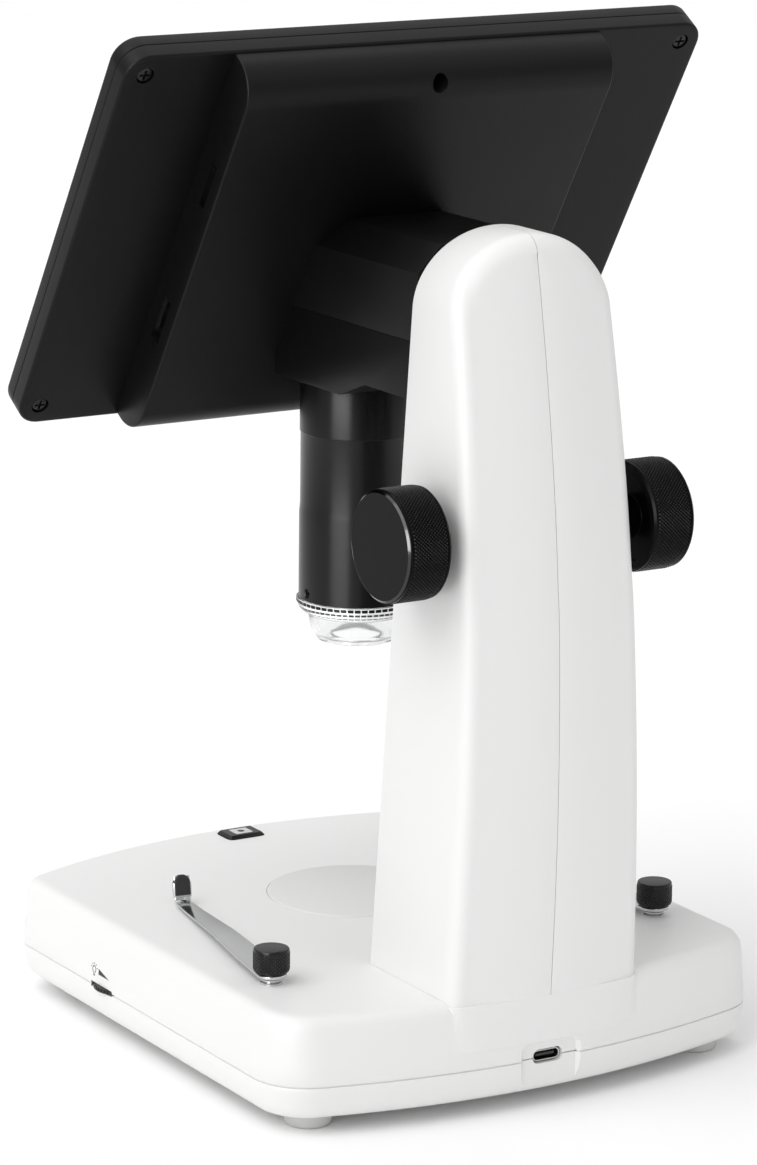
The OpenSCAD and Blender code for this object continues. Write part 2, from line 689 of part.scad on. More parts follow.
module shaft_bush(side) color("goldenrod") scale_x(side) translate([0, shaft_y, shaft_z]) rotate([0, 90, 0])
    difference() {
        union() {
            translate([0, 0, rail_half + 3]) cylinder(d = bush_hole_dia, h = bush_out_x - rail_half - 3);
            translate([0, 0, side_x + 0.4]) cylinder(d = bush_flange_dia, h = bush_out_x - side_x - 0.4);
        }
        cylinder(d = shaft_dia + 2 * run, h = 60);
    }

// ------------------------------------------------------------------ focus drive

function involute(a) = tan(a) * 180 / PI - a;
base_r = pitch_r * cos(pressure_angle);
tip_r = pitch_r + addendum;
root_r = pitch_r - dedendum;
// Half the angle that a tooth spans at radius r
function tooth_half_angle(r) = (tooth_pitch / 2 - backlash) / 2 / pitch_r * 180 / PI
    + involute(pressure_angle) - (r > base_r ? involute(acos(base_r / r)) : 0);
flank_radii = [root_r, base_r + 0.05, pitch_r - 0.3, pitch_r + 0.35, tip_r];
function tooth_points(c) = concat(
    [for (r = flank_radii) let(a = c - tooth_half_angle(r)) r * [cos(a), sin(a)]],
    [for (i = [len(flank_radii) - 1 : -1 : 0]) let(r = flank_radii[i], a = c + tooth_half_angle(r))
        r * [cos(a), sin(a)]]);

module pinion() color("silver") translate([-rack_w / 2, shaft_y, shaft_z]) rotate([90, 0, 90]) difference() {
    linear_extrude(rack_w)
        polygon([for (i = [0 : pinion_teeth - 1]) each tooth_points(180 + i * 360 / pinion_teeth)]);
    translate([0, 0, -1]) cylinder(d = shaft_dia, h = rack_w + 2);
}

function rack_tooth(i) = let(
    z = slide_z + (i + 0.5) * tooth_pitch,
    half = (tooth_pitch / 2 - backlash) / 2,
    slope = tan(pressure_angle))
    [[rack_root_y, z - half - dedendum * slope], [rack_pitch_y + addendum, z - half + addendum * slope],
     [rack_pitch_y + addendum, z + half - addendum * slope], [rack_root_y, z + half + dedendum * slope]];

module rack() color("dimgray") translate([-rack_w / 2, 0, 0]) rotate([90, 0, 90]) linear_extrude(rack_w)
    polygon(concat([[slide_back, slide_z + 0.5]], [for (i = [0 : rack_teeth - 1]) each rack_tooth(i)],
        [[slide_back, slide_z + slide_len - 0.5]]));

module focus_shaft() color("silver") translate([-knob_face_x + 2.5, shaft_y, shaft_z]) rotate([0, 90, 0])
    cylinder(d = shaft_dia, h = 2 * knob_face_x - 5);

module focus_knob(side) color("black") scale_x(side) translate([0, shaft_y, shaft_z]) rotate([0, 90, 0])
    difference() {
        union() {
            translate([0, 0, bush_out_x + clear]) cylinder(d = hub_dia, h = knob_back_x - bush_out_x);
            translate([0, 0, knob_back_x]) cylinder(d1 = knob_dia - 2, d2 = knob_dia, h = 1);
            translate([0, 0, knob_back_x + 1]) cylinder(d = knob_dia, h = knob_w - 2);
            translate([0, 0, knob_face_x - 1]) cylinder(d1 = knob_dia, d2 = knob_dia - 2, h = 1);
        }
        translate([0, 0, knob_back_x - 30]) cylinder(d = shaft_dia, h = 30 + knob_w - 2.5);
        translate([0, 0, knob_back_x - eps]) difference() {
            cylinder(d = knob_dia - 6, h = 2);
            cylinder(d = hub_dia, h = 5);
        }
    }

neck_z = head_z + 7;
neck_h = 25;
carriage_screw_spots = [for (sx = [-1, 1]) for (z = [neck_z + 5, neck_z + neck_h - 5]) [sx * 11, z]];

module carriage() color("silver") difference() {
    union() {
        translate([-slide_half, slide_front, slide_z]) cube([2 * slide_half, slide_t, slide_len]);
        translate([-neck_half, head_rear, neck_z])
            cube([2 * neck_half, slide_front - head_rear + eps, neck_h]);
    }
    for (spot = carriage_screw_spots) translate([spot[0], head_rear - 1, spot[1]]) rotate([-90, 0, 0])
        cylinder(d = 2.5, h = 7);
}

module carriage_screws() color("silver") for (spot = carriage_screw_spots)
    translate([spot[0], head_rear - head_wall, spot[1]]) rotate([-90, 0, 0]) screw(2.5, 7, 5, 1.8);

// ------------------------------------------------------------------ head

// Side view of the head: the sloped front lies on the screen housing
function seat_y(z, gap) = -screen_forward
    + (seat_off + gap + (z - screen_z) * sin(screen_lean)) / cos(screen_lean);
head_front_y = seat_y(head_z + 4.5, 0);
function head_profile(d) = [
    [head_front_y + d, head_z + d], [head_front_y + d, head_z + 4.5],
    [seat_y(head_top - d, d), head_top - d], [head_rear - d, head_top - d],
    [head_rear - d, head_z + head_step_h + d], [head_step_rear, head_z + head_step_h + d],
    [head_step_y, head_z + d]];

module head_body(d) intersection() {
    translate([-head_w / 2 + d, 0, 0]) rotate([90, 0, 90])
        linear_extrude(head_w - 2 * d) polygon(head_profile(d));
    translate([0, 100, 0]) rotate([90, 0, 0]) linear_extrude(200) polygon([
        [-head_w / 2 + d, head_z], [head_w / 2 - d, head_z], [head_w / 2 - d, head_top - head_chamfer],
        [head_w / 2 - head_chamfer, head_top - d], [-head_w / 2 + head_chamfer, head_top - d],
        [-head_w / 2 + d, head_top - head_chamfer]]);
}

module head_shell() difference() {
    head_body(0);
    head_body(head_wall);
    for (spot = carriage_screw_spots) translate([spot[0], head_rear - 10, spot[1]]) rotate([-90, 0, 0])
        cylinder(d = 2.7, h = 20);
    screen_frame() for (spot = mount_spots) translate([spot[0], spot[1], -seat_off - 20])
        cylinder(d = 2.7, h = 30);
}

module head_lower_shell() color("black") difference() {
    intersection() {
        head_shell();
        translate([-100, -100, head_z - 1]) cube([200, 200, joint_z - head_z + 1]);
    }
    translate([0, axis_y, head_z - 1]) cylinder(r = tube_r - 1.2, h = head_wall + 1.5);
}

module head_upper_shell() color("black") intersection() {
    head_shell();
    translate([-100, -100, joint_z + 0.15]) cube([200, 200, 100]);
}

module lens_tube() color("black") difference() {
    union() {
        translate([0, axis_y, tube_z]) cylinder(r = tube_r - 1, h = 10);
        translate([0, axis_y, tube_z + 3.4]) cylinder(r = tube_r, h = 24.6);
        translate([0, axis_y, tube_z + 28]) cylinder(r = tube_r - 0.25, h = 23);
        translate([0, axis_y, tube_z + 51]) cylinder(r = tube_r, h = head_z - tube_z - 51);
        translate([0, axis_y, head_z]) cylinder(r = tube_r - 1.2, h = head_wall);
    }
    translate([0, axis_y, tube_z - 1]) cylinder(r = tube_r - tube_wall, h = 80);
    screen_frame() translate([-50, -100, -seat_off - 0.3]) cube([100, 200, 40]);
    translate([tube_r - 4, axis_y, tube_z + 4.8]) rotate([0, 90, 0]) cylinder(d = 2.4, h = 8);
}

module tube_set_screw() color("black")
    translate([tube_r - tube_wall - 1, axis_y, tube_z + 4.8]) rotate([0, 90, 0]) difference() {
        cylinder(d = 2.4, h = tube_wall + 0.8);
        translate([0, 0, tube_wall]) cylinder(d = 1.2, h = 3, $fn = 6);
    }

module lens_barrel() color("dimgray") translate([0, axis_y, 0]) difference() {
    union() {
        translate([0, 0, tube_z + 1]) cylinder(r = barrel_r, h = 33);
        translate([0, 0, tube_z + 30]) cylinder(r = tube_r - tube_wall, h = 4);
        translate([0, 0, tube_z + 2.6]) cylinder(r = tube_r - tube_wall - 1, h = 4);
    }
    translate([0, 0, tube_z - 1]) cylinder(r = barrel_r - 2, h = 80);
}

module lens_glass() color("lightblue") translate([0, axis_y, tube_z + 2]) intersection() {
    cylinder(r = barrel_r - 2, h = 4);
    translate([0, 0, 18]) sphere(r = 18);
}

module sensor_board() color("seagreen") translate([0, axis_y, tube_z + 34]) {
    cylinder(r = tube_r - tube_wall - 0.1, h = board_t);
    translate([-6, -6, board_t]) cube([12, 12, 1.4]);
}

module led_ring_board() color("white") translate([0, axis_y, tube_z - 3.2]) difference() {
    union() {
        cylinder(r = tube_r - tube_wall - 1, h = lamp_t);
        for (i = [0 : 11]) rotate(i * 30 + 15) translate([barrel_r + 0.6, -1.3, -0.7]) cube([2.6, 2.6, 0.7]);
    }
    translate([0, 0, -2]) cylinder(r = barrel_r - 1, h = 6);
}

module light_ring() color("lightcyan") translate([0, axis_y, 0]) rotate_extrude() polygon([
    [tube_r - 0.95, tube_z + 3.2], [ring_r, tube_z + 3.2], [ring_r - 0.6, tube_z - 1.7],
    [tube_r - 2.2, tube_z - 3.6], [tube_r - 2.9, tube_z - 3.8], [tube_r - 3.4, tube_z - 7.6],
    [tube_r - 4.8, tube_z - 9.9], [tube_r - 5.6, tube_z - ring_drop],
    [barrel_r - 1, tube_z - ring_drop], [barrel_r - 1, tube_z - ring_drop + 1.4],
    [tube_r - 6.6, tube_z - ring_drop + 1.4], [tube_r - 6, tube_z - 9.4], [tube_r - 4.8, tube_z - 6],
    [tube_r - 4.4, tube_z - 3.9], [tube_r - 4.2, tube_z - 3.2], [tube_r - 2.2, tube_z - 3.2],
    [tube_r - 2.2, tube_z - 0.05], [tube_r - 0.95, tube_z - 0.05]]);

// ------------------------------------------------------------------ screen

module case_plate(inset, z, t) translate([0, 0, z])
    rounded_plate(screen_w - 2 * inset, screen_h - 2 * inset, screen_corner_r - inset, t);

// The four corners of the screen case, where the screws are
module at_corners(z) for (sx = [-1, 1]) for (sy = [-1, 1])
    translate([sx * corner_screw[0], sy * corner_screw[1], z]) children();

module screen_rear_shell() color("black") screen_frame() difference() {
    union() {
        difference() {
            union() {
                case_plate(0, 0, rear_rim_t);
                housing_shape(0);
            }
            translate([0, 0, eps]) case_plate(screen_wall, screen_wall, rear_rim_t);
            housing_shape(screen_wall);
        }
        at_corners(0) cylinder(d = 7.4, h = rear_rim_t);
        for (spot = mount_spots) translate([spot[0], spot[1], -housing_t]) cylinder(d = 7, h = 6);
        for (spot = board_spots) translate([spot[0], spot[1], -housing_t])
            cylinder(d = 6, h = screen_board_z + housing_t);
    }
    at_corners(-1) cylinder(d = screen_screw_dia + 0.3, h = 20);
    at_corners(-1) cylinder(d = 5.2, h = 2.8);
    for (spot = mount_spots) translate([spot[0], spot[1], -housing_t - 1]) cylinder(d = 2.1, h = 6);
    translate([0, 60.5, -housing_t - 1]) cylinder(d = 5, h = 12);
    translate([housing_side - 6, card_y - card_w / 2, -8.4 - 0.2]) cube([12, card_w, card_h + 0.4]);
    translate([housing_side - 6, video_y - video_w / 2, -8.6]) cube([12, video_w, video_h]);
}

// Raised housing on the back: upright side walls, round shoulders at the top and the bottom
module housing_shape(d) translate([housing_x, 0, 0]) {
    h = screen_h - 1.6 - 2 * d;
    r = housing_t - 2.4;
    w = housing_w - 2 * d;
    translate([-w / 2, 0, 0]) rotate([90, 0, 90]) linear_extrude(w) union() {
        translate([-h / 2, -housing_t + d + r]) square([h, housing_t - r - d + 2.1 + (d > 0 ? 4 : 0)]);
        translate([-h / 2 + r, -housing_t + d]) square([h - 2 * r, housing_t]);
        for (side = [-1, 1]) intersection() {
            translate([side * (h / 2 - r), -housing_t + d + r]) circle(r);
            translate([side * h / 2 - h / 2, -housing_t + d]) square([h, r + 1]);
        }
    }
}

module screen_bezel() color("black") screen_frame() difference() {
    union() {
        difference() {
            case_plate(0, rear_rim_t, bezel_t - 0.8);
            translate([0, 0, -eps]) case_plate(screen_wall, rear_rim_t, bezel_t - 1.8 + eps);
        }
        hull() {
            case_plate(0, case_t - 0.8 - eps, eps);
            case_plate(0.8, case_t - eps, eps);
        }
        at_corners(rear_rim_t) cylinder(d = 6, h = bezel_t - 1);
    }
    at_corners(rear_rim_t - 1) cylinder(d = screen_screw_dia, h = bezel_t - 0.6);
    translate([glass_x, 0, case_t - glass_t]) rounded_plate(glass_w + 0.2, glass_h + 0.2, 3, 5);
    translate([display_x, 0, 0]) rounded_plate(display_w - 3, display_h - 3, 1, 20);
    for (i = [-2 : 2]) translate([key_x, i * key_pitch, 0]) cylinder(d = key_dia + 2 * clear, h = 20);
}

module display_panel() color("darkslategray") screen_frame()
    translate([display_x, 0, case_t - 1 - 0.8 - display_t]) translate([-display_w / 2, -display_h / 2, 0])
        cube([display_w, display_h, display_t]);

module cover_glass() color("black") screen_frame() translate([glass_x, 0, case_t - glass_t])
    rounded_plate(glass_w, glass_h, 3, glass_t);

module screen_board() color("seagreen") screen_frame() difference() {
    union() {
        translate([housing_x - housing_w / 2 + 8.4, -board_half_h, screen_board_z])
            cube([housing_w - 8.8 - screen_wall, 2 * board_half_h, board_t]);
        translate([-10, -8, screen_board_z + board_t]) cube([16, 16, 1.4]);
        translate([-36, 12, screen_board_z + board_t]) cube([12, 10, 1.2]);
    }
    for (spot = mount_spots) translate([spot[0], spot[1], -20]) cylinder(d = 8, h = 30);
    for (spot = board_spots) translate([spot[0], spot[1], -20]) cylinder(d = 2.4, h = 30);
}

module card_socket() color("silver") screen_frame() difference() {
    translate([housing_side - screen_wall - 15, card_y - card_w / 2, screen_board_z + board_t])
        cube([15, card_w, card_h]);
    translate([housing_side - screen_wall - 13, card_y - card_w / 2 + 1.6, screen_board_z + board_t + 0.6])
        cube([20, card_w - 3.2, card_h - 1.2]);
}

module video_socket() color("silver") screen_frame() difference() {
    translate([housing_side - screen_wall - 11, video_y - video_w / 2 + 0.1, screen_board_z + board_t])
        cube([11.8, video_w - 0.2, video_h - 0.1]);
    translate([housing_side - screen_wall - 9, video_y - video_w / 2 + 0.7, screen_board_z + board_t + 0.5])
        cube([20, video_w - 1.4, video_h - 1.1]);
}

module screen_screws() color("gray") screen_frame() at_corners(1.8)
        screw(screen_screw_dia, rear_rim_t + bezel_t - 3.8, 4.8, 1.5);

module screen_mount_screws() color("silver") screen_frame() for (spot = mount_spots)
    translate([spot[0], spot[1], -housing_t - head_wall]) screw(2.1, 7, 4.4, 1.6);

module key_board() color("seagreen") screen_frame() {
    translate([key_x - key_board_w / 2, -2.5 * key_pitch, screen_wall + eps])
        cube([key_board_w, 5 * key_pitch, 1.2]);
    for (i = [-2 : 2]) translate([key_x - 2.6, i * key_pitch - 2.6, screen_wall + 1.2])
        cube([5.2, 5.2, 1.2]);
}

module key(i) color("dimgray") screen_frame() translate([key_x, i * key_pitch, 0]) {
    translate([0, 0, screen_wall + 2.5 + key_travel])
        cylinder(d = 3, h = case_t - screen_wall - 3.6 - key_travel);
    translate([0, 0, case_t - 3.3]) cylinder(d = key_dia + 1.6, h = 1.2);
    translate([0, 0, case_t - 2.2]) cylinder(d = key_dia, h = 2.2 + key_proud - 0.4);
    translate([0, 0, case_t + key_proud - 0.4]) cylinder(d1 = key_dia, d2 = key_dia - 0.8, h = 0.4);
}

// ------------------------------------------------------------------ the assembly

base_top_shell();
base_bottom_shell();
base_feet();
base_screws();
stage_disc();
stage_led_board();
main_board();
main_board_screws();
usb_c_socket();
dimmer_pot();
dimmer_wheel();
capture_button();
capture_switch();
clip_posts();
clip_blade(-1);  // clip_left
clip_blade(1);  // clip_right
clip_sleeve(-1);  // clip_sleeve_left
clip_sleeve(1);  // clip_sleeve_right
clip_knob(-1);  // clip_knob_left
clip_knob(1);  // clip_knob_right
stand_shell(-1);  // stand_shell_left
stand_shell(1);  // stand_shell_right
stand_front_cover();
stand_screws();
guide_rail(-1);  // guide_rail_left
guide_rail(1);  // guide_rail_right
shaft_bush(-1);  // shaft_bush_left
shaft_bush(1);  // shaft_bush_right
focus_shaft();
pinion();
focus_knob(-1);  // focus_knob_left
focus_knob(1);  // focus_knob_right
carriage();
rack();
carriage_screws();
head_lower_shell();
head_upper_shell();
lens_tube();
tube_set_screw();
lens_barrel();
lens_glass();
sensor_board();
led_ring_board();
light_ring();
screen_rear_shell();
screen_bezel();
display_panel();
cover_glass();
screen_board();
card_socket();
video_socket();
screen_screws();
screen_mount_screws();
key_board();
key(2);  // key_power
key(1);  // key_menu
key(0);  // key_up
key(-1);  // key_down
key(-2);  // key_ok
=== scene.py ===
import json
import math

import bmesh
import bpy
from mathutils import Matrix, Vector

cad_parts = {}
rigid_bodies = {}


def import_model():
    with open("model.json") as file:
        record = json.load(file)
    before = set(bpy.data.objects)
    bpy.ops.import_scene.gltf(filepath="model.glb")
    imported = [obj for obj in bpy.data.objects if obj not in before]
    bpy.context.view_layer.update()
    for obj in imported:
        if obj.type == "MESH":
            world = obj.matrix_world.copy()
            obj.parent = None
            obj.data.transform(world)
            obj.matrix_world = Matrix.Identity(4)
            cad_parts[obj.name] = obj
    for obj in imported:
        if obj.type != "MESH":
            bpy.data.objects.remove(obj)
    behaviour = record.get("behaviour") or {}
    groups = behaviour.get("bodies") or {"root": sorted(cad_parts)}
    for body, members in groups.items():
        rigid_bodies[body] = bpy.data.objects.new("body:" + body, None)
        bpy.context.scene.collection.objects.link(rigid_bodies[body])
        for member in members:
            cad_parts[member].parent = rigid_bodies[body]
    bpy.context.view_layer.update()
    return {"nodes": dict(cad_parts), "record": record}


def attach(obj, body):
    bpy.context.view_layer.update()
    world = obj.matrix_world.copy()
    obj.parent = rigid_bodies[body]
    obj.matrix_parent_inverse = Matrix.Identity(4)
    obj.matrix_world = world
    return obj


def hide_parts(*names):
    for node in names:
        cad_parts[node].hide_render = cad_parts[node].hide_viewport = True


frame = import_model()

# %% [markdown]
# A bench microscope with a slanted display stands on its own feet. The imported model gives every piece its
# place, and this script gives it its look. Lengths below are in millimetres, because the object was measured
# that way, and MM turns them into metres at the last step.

MM = 0.001
BASE_W, BASE_D = 163.0, 188.0
CORNER_FRONT, CORNER_BACK, BULGE_FRONT, BULGE_BACK = 11, 17, 190, 250
WHEEL = (73.3, -21.6)
BUTTON_Y = -82.4
STAND_H, STAND_ARCH, STAND_FOOT_Z = 191.2, 22.0, 33.3
STAND_HALF, STAND_LEAN, ARCH_HALF, STAND_CORNER = 31.9, 5.9, 26, 5
STAND_FRONT, STAND_BACK, STAND_WALL = 47.5, 94, 2.2
SHAFT_Y, SHAFT_Z = 75.6, 163.6
TUBE_R, TUBE_Z, HEAD_Z = 17.2, 124.6, 193.0
RING_TOP, SET_SCREW_Z = 125.6, 128.0
SCREEN_W, SCREEN_H, CORNER_R = 190.0, 134.0, 7.5
KEY_X, KEY_PITCH = 85.9, 15
POST_X, POST_Y, THUMB_Z = 65.2, 49.7, 38.1
KNOB_R, KNOB_FACE, KNOB_BACK = 16.0, 47.0, 33.3
SKY, KEY, TOP, SIDE, STRIP = 0.58, 1.02, 0.72, 0.3, 2.6
SIDES = ((-1, "left"), (1, "right"))
AXIS = Matrix.Translation((0, -14, 0))
SCREEN = Matrix.Translation((0, -13.3, 236.7)) @ Matrix.Rotation(math.radians(58.2), 4, "X")

# %% [markdown]
# Every piece is made the same way: points and faces in millimetres become a mesh, doubled points are merged,
# and the normals are turned outwards. A boolean cut stands for what a tool or a mould core does to the piece.
# Modifiers are baked at once, so that each finished piece is a plain mesh.

# %% Mesh tools


def add_object(name, data):
    piece = bpy.data.objects.new(name, data)
    bpy.context.scene.collection.objects.link(piece)
    return piece


def shape(name, points, faces, matrix=None):
    mesh = bpy.data.meshes.new(name)
    mesh.from_pydata([Vector(p) for p in points], [], faces)
    if matrix is not None:
        mesh.transform(matrix)
    mesh.transform(Matrix.Scale(MM, 4))
    bm = bmesh.new()
    bm.from_mesh(mesh)
    bmesh.ops.remove_doubles(bm, verts=bm.verts, dist=2e-6)
    bmesh.ops.dissolve_degenerate(bm, edges=bm.edges, dist=1e-6)
    bmesh.ops.recalc_face_normals(bm, faces=bm.faces)
    bm.to_mesh(mesh)
    bm.free()
    return add_object(name, mesh)


def bake(piece):
    graph = bpy.context.evaluated_depsgraph_get()
    mesh = bpy.data.meshes.new_from_object(piece.evaluated_get(graph))
    piece.modifiers.clear()
    piece.data = mesh
    mesh.name = piece.name
    return piece


def cut(piece, *tools, how="DIFFERENCE"):
    for tool in tools:
        step = piece.modifiers.new("cut", "BOOLEAN")
        step.object, step.solver, step.operation = tool, "EXACT", how
    bake(piece)
    for tool in tools:
        bpy.data.objects.remove(tool)
    return piece


def join(name, *parts):
    bm = bmesh.new()
    for part in parts:
        bm.from_mesh(part.data)
        bpy.data.objects.remove(part)
    mesh = bpy.data.meshes.new(name)
    bm.to_mesh(mesh)
    bm.free()
    return add_object(name, mesh)


def softened(name, node_name, width, body, mat):
    # A finer copy of a plain piece: its edges are rounded as a mould rounds them
    source = frame["nodes"][node_name]
    bm = bmesh.new()
    for part in [source] + list(source.children_recursive):
        if part.type == "MESH":
            bm.from_mesh(part.data)
    bmesh.ops.remove_doubles(bm, verts=bm.verts, dist=1e-6)
    bmesh.ops.dissolve_limit(bm, angle_limit=math.radians(2), verts=bm.verts, edges=bm.edges)
    mesh = bpy.data.meshes.new(name)
    bm.to_mesh(mesh)
    bm.free()
    piece = add_object(name, mesh)
    step = piece.modifiers.new("round", "BEVEL")
    step.width, step.segments, step.limit_method = width * MM, 2, "ANGLE"
    step.angle_limit, step.use_clamp_overlap = math.radians(30), True
    return dress(bake(piece), body, mat, node_name, angle=40)


def dress(piece, body, material, *nodes, angle=32):
    # The last step of each piece: its finish, the body it moves with and the nodes it stands for
    mesh = piece.data
    mesh.materials.clear()
    mesh.materials.append(material)
    mesh.polygons.foreach_set("material_index", [0] * len(mesh.polygons))
    mesh.polygons.foreach_set("use_smooth", [True] * len(mesh.polygons))
    mesh.set_sharp_from_angle(angle=math.radians(angle))
    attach(piece, body)
    SUBPARTS[nodes[0]] if nodes else FINISHES[material.name]
    if nodes:
        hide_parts(*nodes)
    print(piece.name, len(mesh.polygons), "faces on", body)
    return piece


print(len(frame["nodes"]), "nodes in the model")

# %% [markdown]
# A few ways of making a form cover most of the microscope. A loft joins rings of points, as a moulded wall
# does, and a stack is a loft whose rings are one outline at several insets. A lathe turns a profile round an
# axis, as the knobs and the lens tube are turned, and a disc is its plainest case. A prism is an outline
# pushed straight through. Discs, prisms and blocks mostly serve as cutting tools.

# %% Form makers


def loft(name, rings, matrix=None, cyclic=False):
    n = len(rings[0])
    points = [p for ring in rings for p in ring]
    faces = []
    for i in range(len(rings) if cyclic else len(rings) - 1):
        a, b = i * n, (i + 1) % len(rings) * n
        faces += [(a + j, a + (j + 1) % n, b + (j + 1) % n, b + j) for j in range(n)]
    if not cyclic:
        faces += [tuple(range(n)), tuple(range((len(rings) - 1) * n, len(rings) * n))]
    return shape(name, points, faces, matrix)


def stack(name, outline, steps, matrix=None, cyclic=False):
    rings = [[(x, y, z) for x, y in outline(inset)] for inset, z in steps]
    return loft(name, rings, matrix, cyclic)


def lathe(name, profile, matrix=None, n=96, closed=False):
    rings = []
    for r, z in profile:
        r = max(r, 1e-4)
        angles = [2 * math.pi * k / n for k in range(n)]
        rings.append([(r * math.cos(a), r * math.sin(a), z) for a in angles])
    return loft(name, rings, matrix, cyclic=closed)


def disc(name, r, z0, z1, matrix=None, n=96):
    return lathe(name, [(0, z0), (r, z0), (r, z1), (0, z1)], matrix, n)


def prism(name, outline, z0, z1, matrix=None):
    return stack(name, lambda inset: outline, ((0, z0), (0, z1)), matrix)


def block(name, low, high, matrix=None):
    (x0, y0, z0), (x1, y1, z1) = low, high
    return prism(name, [(x0, y0), (x1, y0), (x1, y1), (x0, y1)], z0, z1, matrix)


def side_block(name, side, low, high):
    # A block of the right half, or its mirror image in the left half
    xs = sorted((side * low[0], side * high[0]))
    return block(name, (xs[0], *low[1:]), (xs[1], *high[1:]))


def flat_ring(name, outer, inner, low, high, matrix):
    levels = ((outer, low), (outer, high), (inner, high), (inner, low))
    return loft(name, [[(x, y, z) for x, y in ring] for ring, z in levels], matrix, cyclic=True)


def arc(cx, cy, r, a0, a1, n):
    return [(cx + r * math.cos(a0 + (a1 - a0) * k / n), cy + r * math.sin(a0 + (a1 - a0) * k / n))
            for k in range(n + 1)]


def rounded_rect(w, d, r, n=8):
    out = []
    for k, (sx, sy) in enumerate([(1, 1), (-1, 1), (-1, -1), (1, -1)]):
        out += arc(sx * (w / 2 - r), sy * (d / 2 - r), r, k * math.pi / 2, (k + 1) * math.pi / 2, n)
    return out


def at(x, y, z=0.0):
    return Matrix.Translation((x, y, z))


def on_shaft(side, x=0.0):
    # Turned so that a profile's height runs outwards along the focus shaft
    return at(x, SHAFT_Y, SHAFT_Z) @ Matrix.Rotation(side * math.pi / 2, 4, "Y")


print("rounded rectangle:", len(rounded_rect(10, 6, 1)), "points")

# %% [markdown]
# Materials and repeated parts are both made of nodes. A tree gets named inputs, so that one pattern can serve
# several pieces with other numbers. These helpers add a node and set or link its inputs in one line.

# %% Node tools


def new_tree(name, kind, wants, gives):
    tree = bpy.data.node_groups.new(name, kind)
    for label, sort, value in wants:
        socket = tree.interface.new_socket(label, in_out="INPUT", socket_type="NodeSocket" + sort)
        if value is not None:
            socket.default_value = value
    for label, sort in gives:
        tree.interface.new_socket(label, in_out="OUTPUT", socket_type="NodeSocket" + sort)
    return tree, tree.nodes.new("NodeGroupInput").outputs, tree.nodes.new("NodeGroupOutput").inputs


def node(tree, kind, inputs=None, **settings):
    made = tree.nodes.new(kind)
    for key, value in settings.items():
        setattr(made, key, value)
    for key, value in (inputs or {}).items():
        if isinstance(value, bpy.types.NodeSocket):
            tree.links.new(value, made.inputs[key])
        else:
            made.inputs[key].default_value = value
    return made.outputs


def calc(tree, operation, a, b=0.0, c=0.0):
    return node(tree, "ShaderNodeMath", {0: a, 1: b, 2: c}, operation=operation)[0]


print(len(bpy.data.node_groups), "node trees so far")

# %% [markdown]
# Shader groups carry the fine surface detail. One gives moulded plastic its faint texture, and the others
# give metal its fine lines from turning or polishing. They hand out a roughness and a normal only, so each
# material keeps its own shader. Their pattern follows the object, so it moves with the piece.

# %% Shader groups


def surface_group(name, stretch):
    wants = [("Scale", "Float", 900.0), ("Depth", "Float", 0.02), ("Roughness", "Float", 0.4),
             ("Variation", "Float", 0.08)]
    tree, got, out = new_tree(name, "ShaderNodeTree", wants, [("Roughness", "Float"), ("Normal", "Vector")])
    place = node(tree, "ShaderNodeTexCoord")["Object"]
    spot = node(tree, "ShaderNodeMapping", {"Vector": place, "Scale": stretch})["Vector"]
    fine = node(tree, "ShaderNodeTexNoise", {"Vector": spot, "Scale": got["Scale"], "Detail": 3.0})
    broad = node(tree, "ShaderNodeTexNoise", {"Vector": spot, "Scale": 55.0})
    bump = node(tree, "ShaderNodeBump", {"Height": fine["Fac"], "Strength": got["Depth"], "Distance": 0.0002})
    rough = calc(tree, "MULTIPLY_ADD", broad["Fac"], got["Variation"], got["Roughness"])
    tree.links.new(rough, out["Roughness"])
    tree.links.new(bump["Normal"], out["Normal"])
    return tree


GRAIN = surface_group("moulded_grain", (1, 1, 1))
TURNED = surface_group("turned_lines", (0.06, 0.06, 1.6))
POLISHED = surface_group("polish_lines", (1.0, 0.05, 1.0))


def material(name, color, rough, pattern=GRAIN, scale=900.0, depth=0.05, vary=0.06, **extra):
    mat = bpy.data.materials.new(name)
    mat.use_nodes = True
    tree = mat.node_tree
    shader = tree.nodes["Principled BSDF"]
    shader.inputs["Base Color"].default_value = (*color, 1.0)
    for label, value in extra.items():
        shader.inputs[label.replace("_", " ")].default_value = value
    values = {"Scale": scale, "Depth": depth, "Roughness": rough, "Variation": vary}
    detail = node(tree, "ShaderNodeGroup", values, node_tree=pattern)
    for label in ("Roughness", "Normal"):
        tree.links.new(detail[label], shader.inputs[label])
    return mat


print("patterns:", GRAIN.name, TURNED.name, POLISHED.name)

# %% [markdown]
# The shells are a very white plastic, and the display, the head and the knobs are black. The clips are
# polished spring steel, which mirrors the room. The lamp ring is clear, and the round plate is milky so that
# the lamps under it give even light.

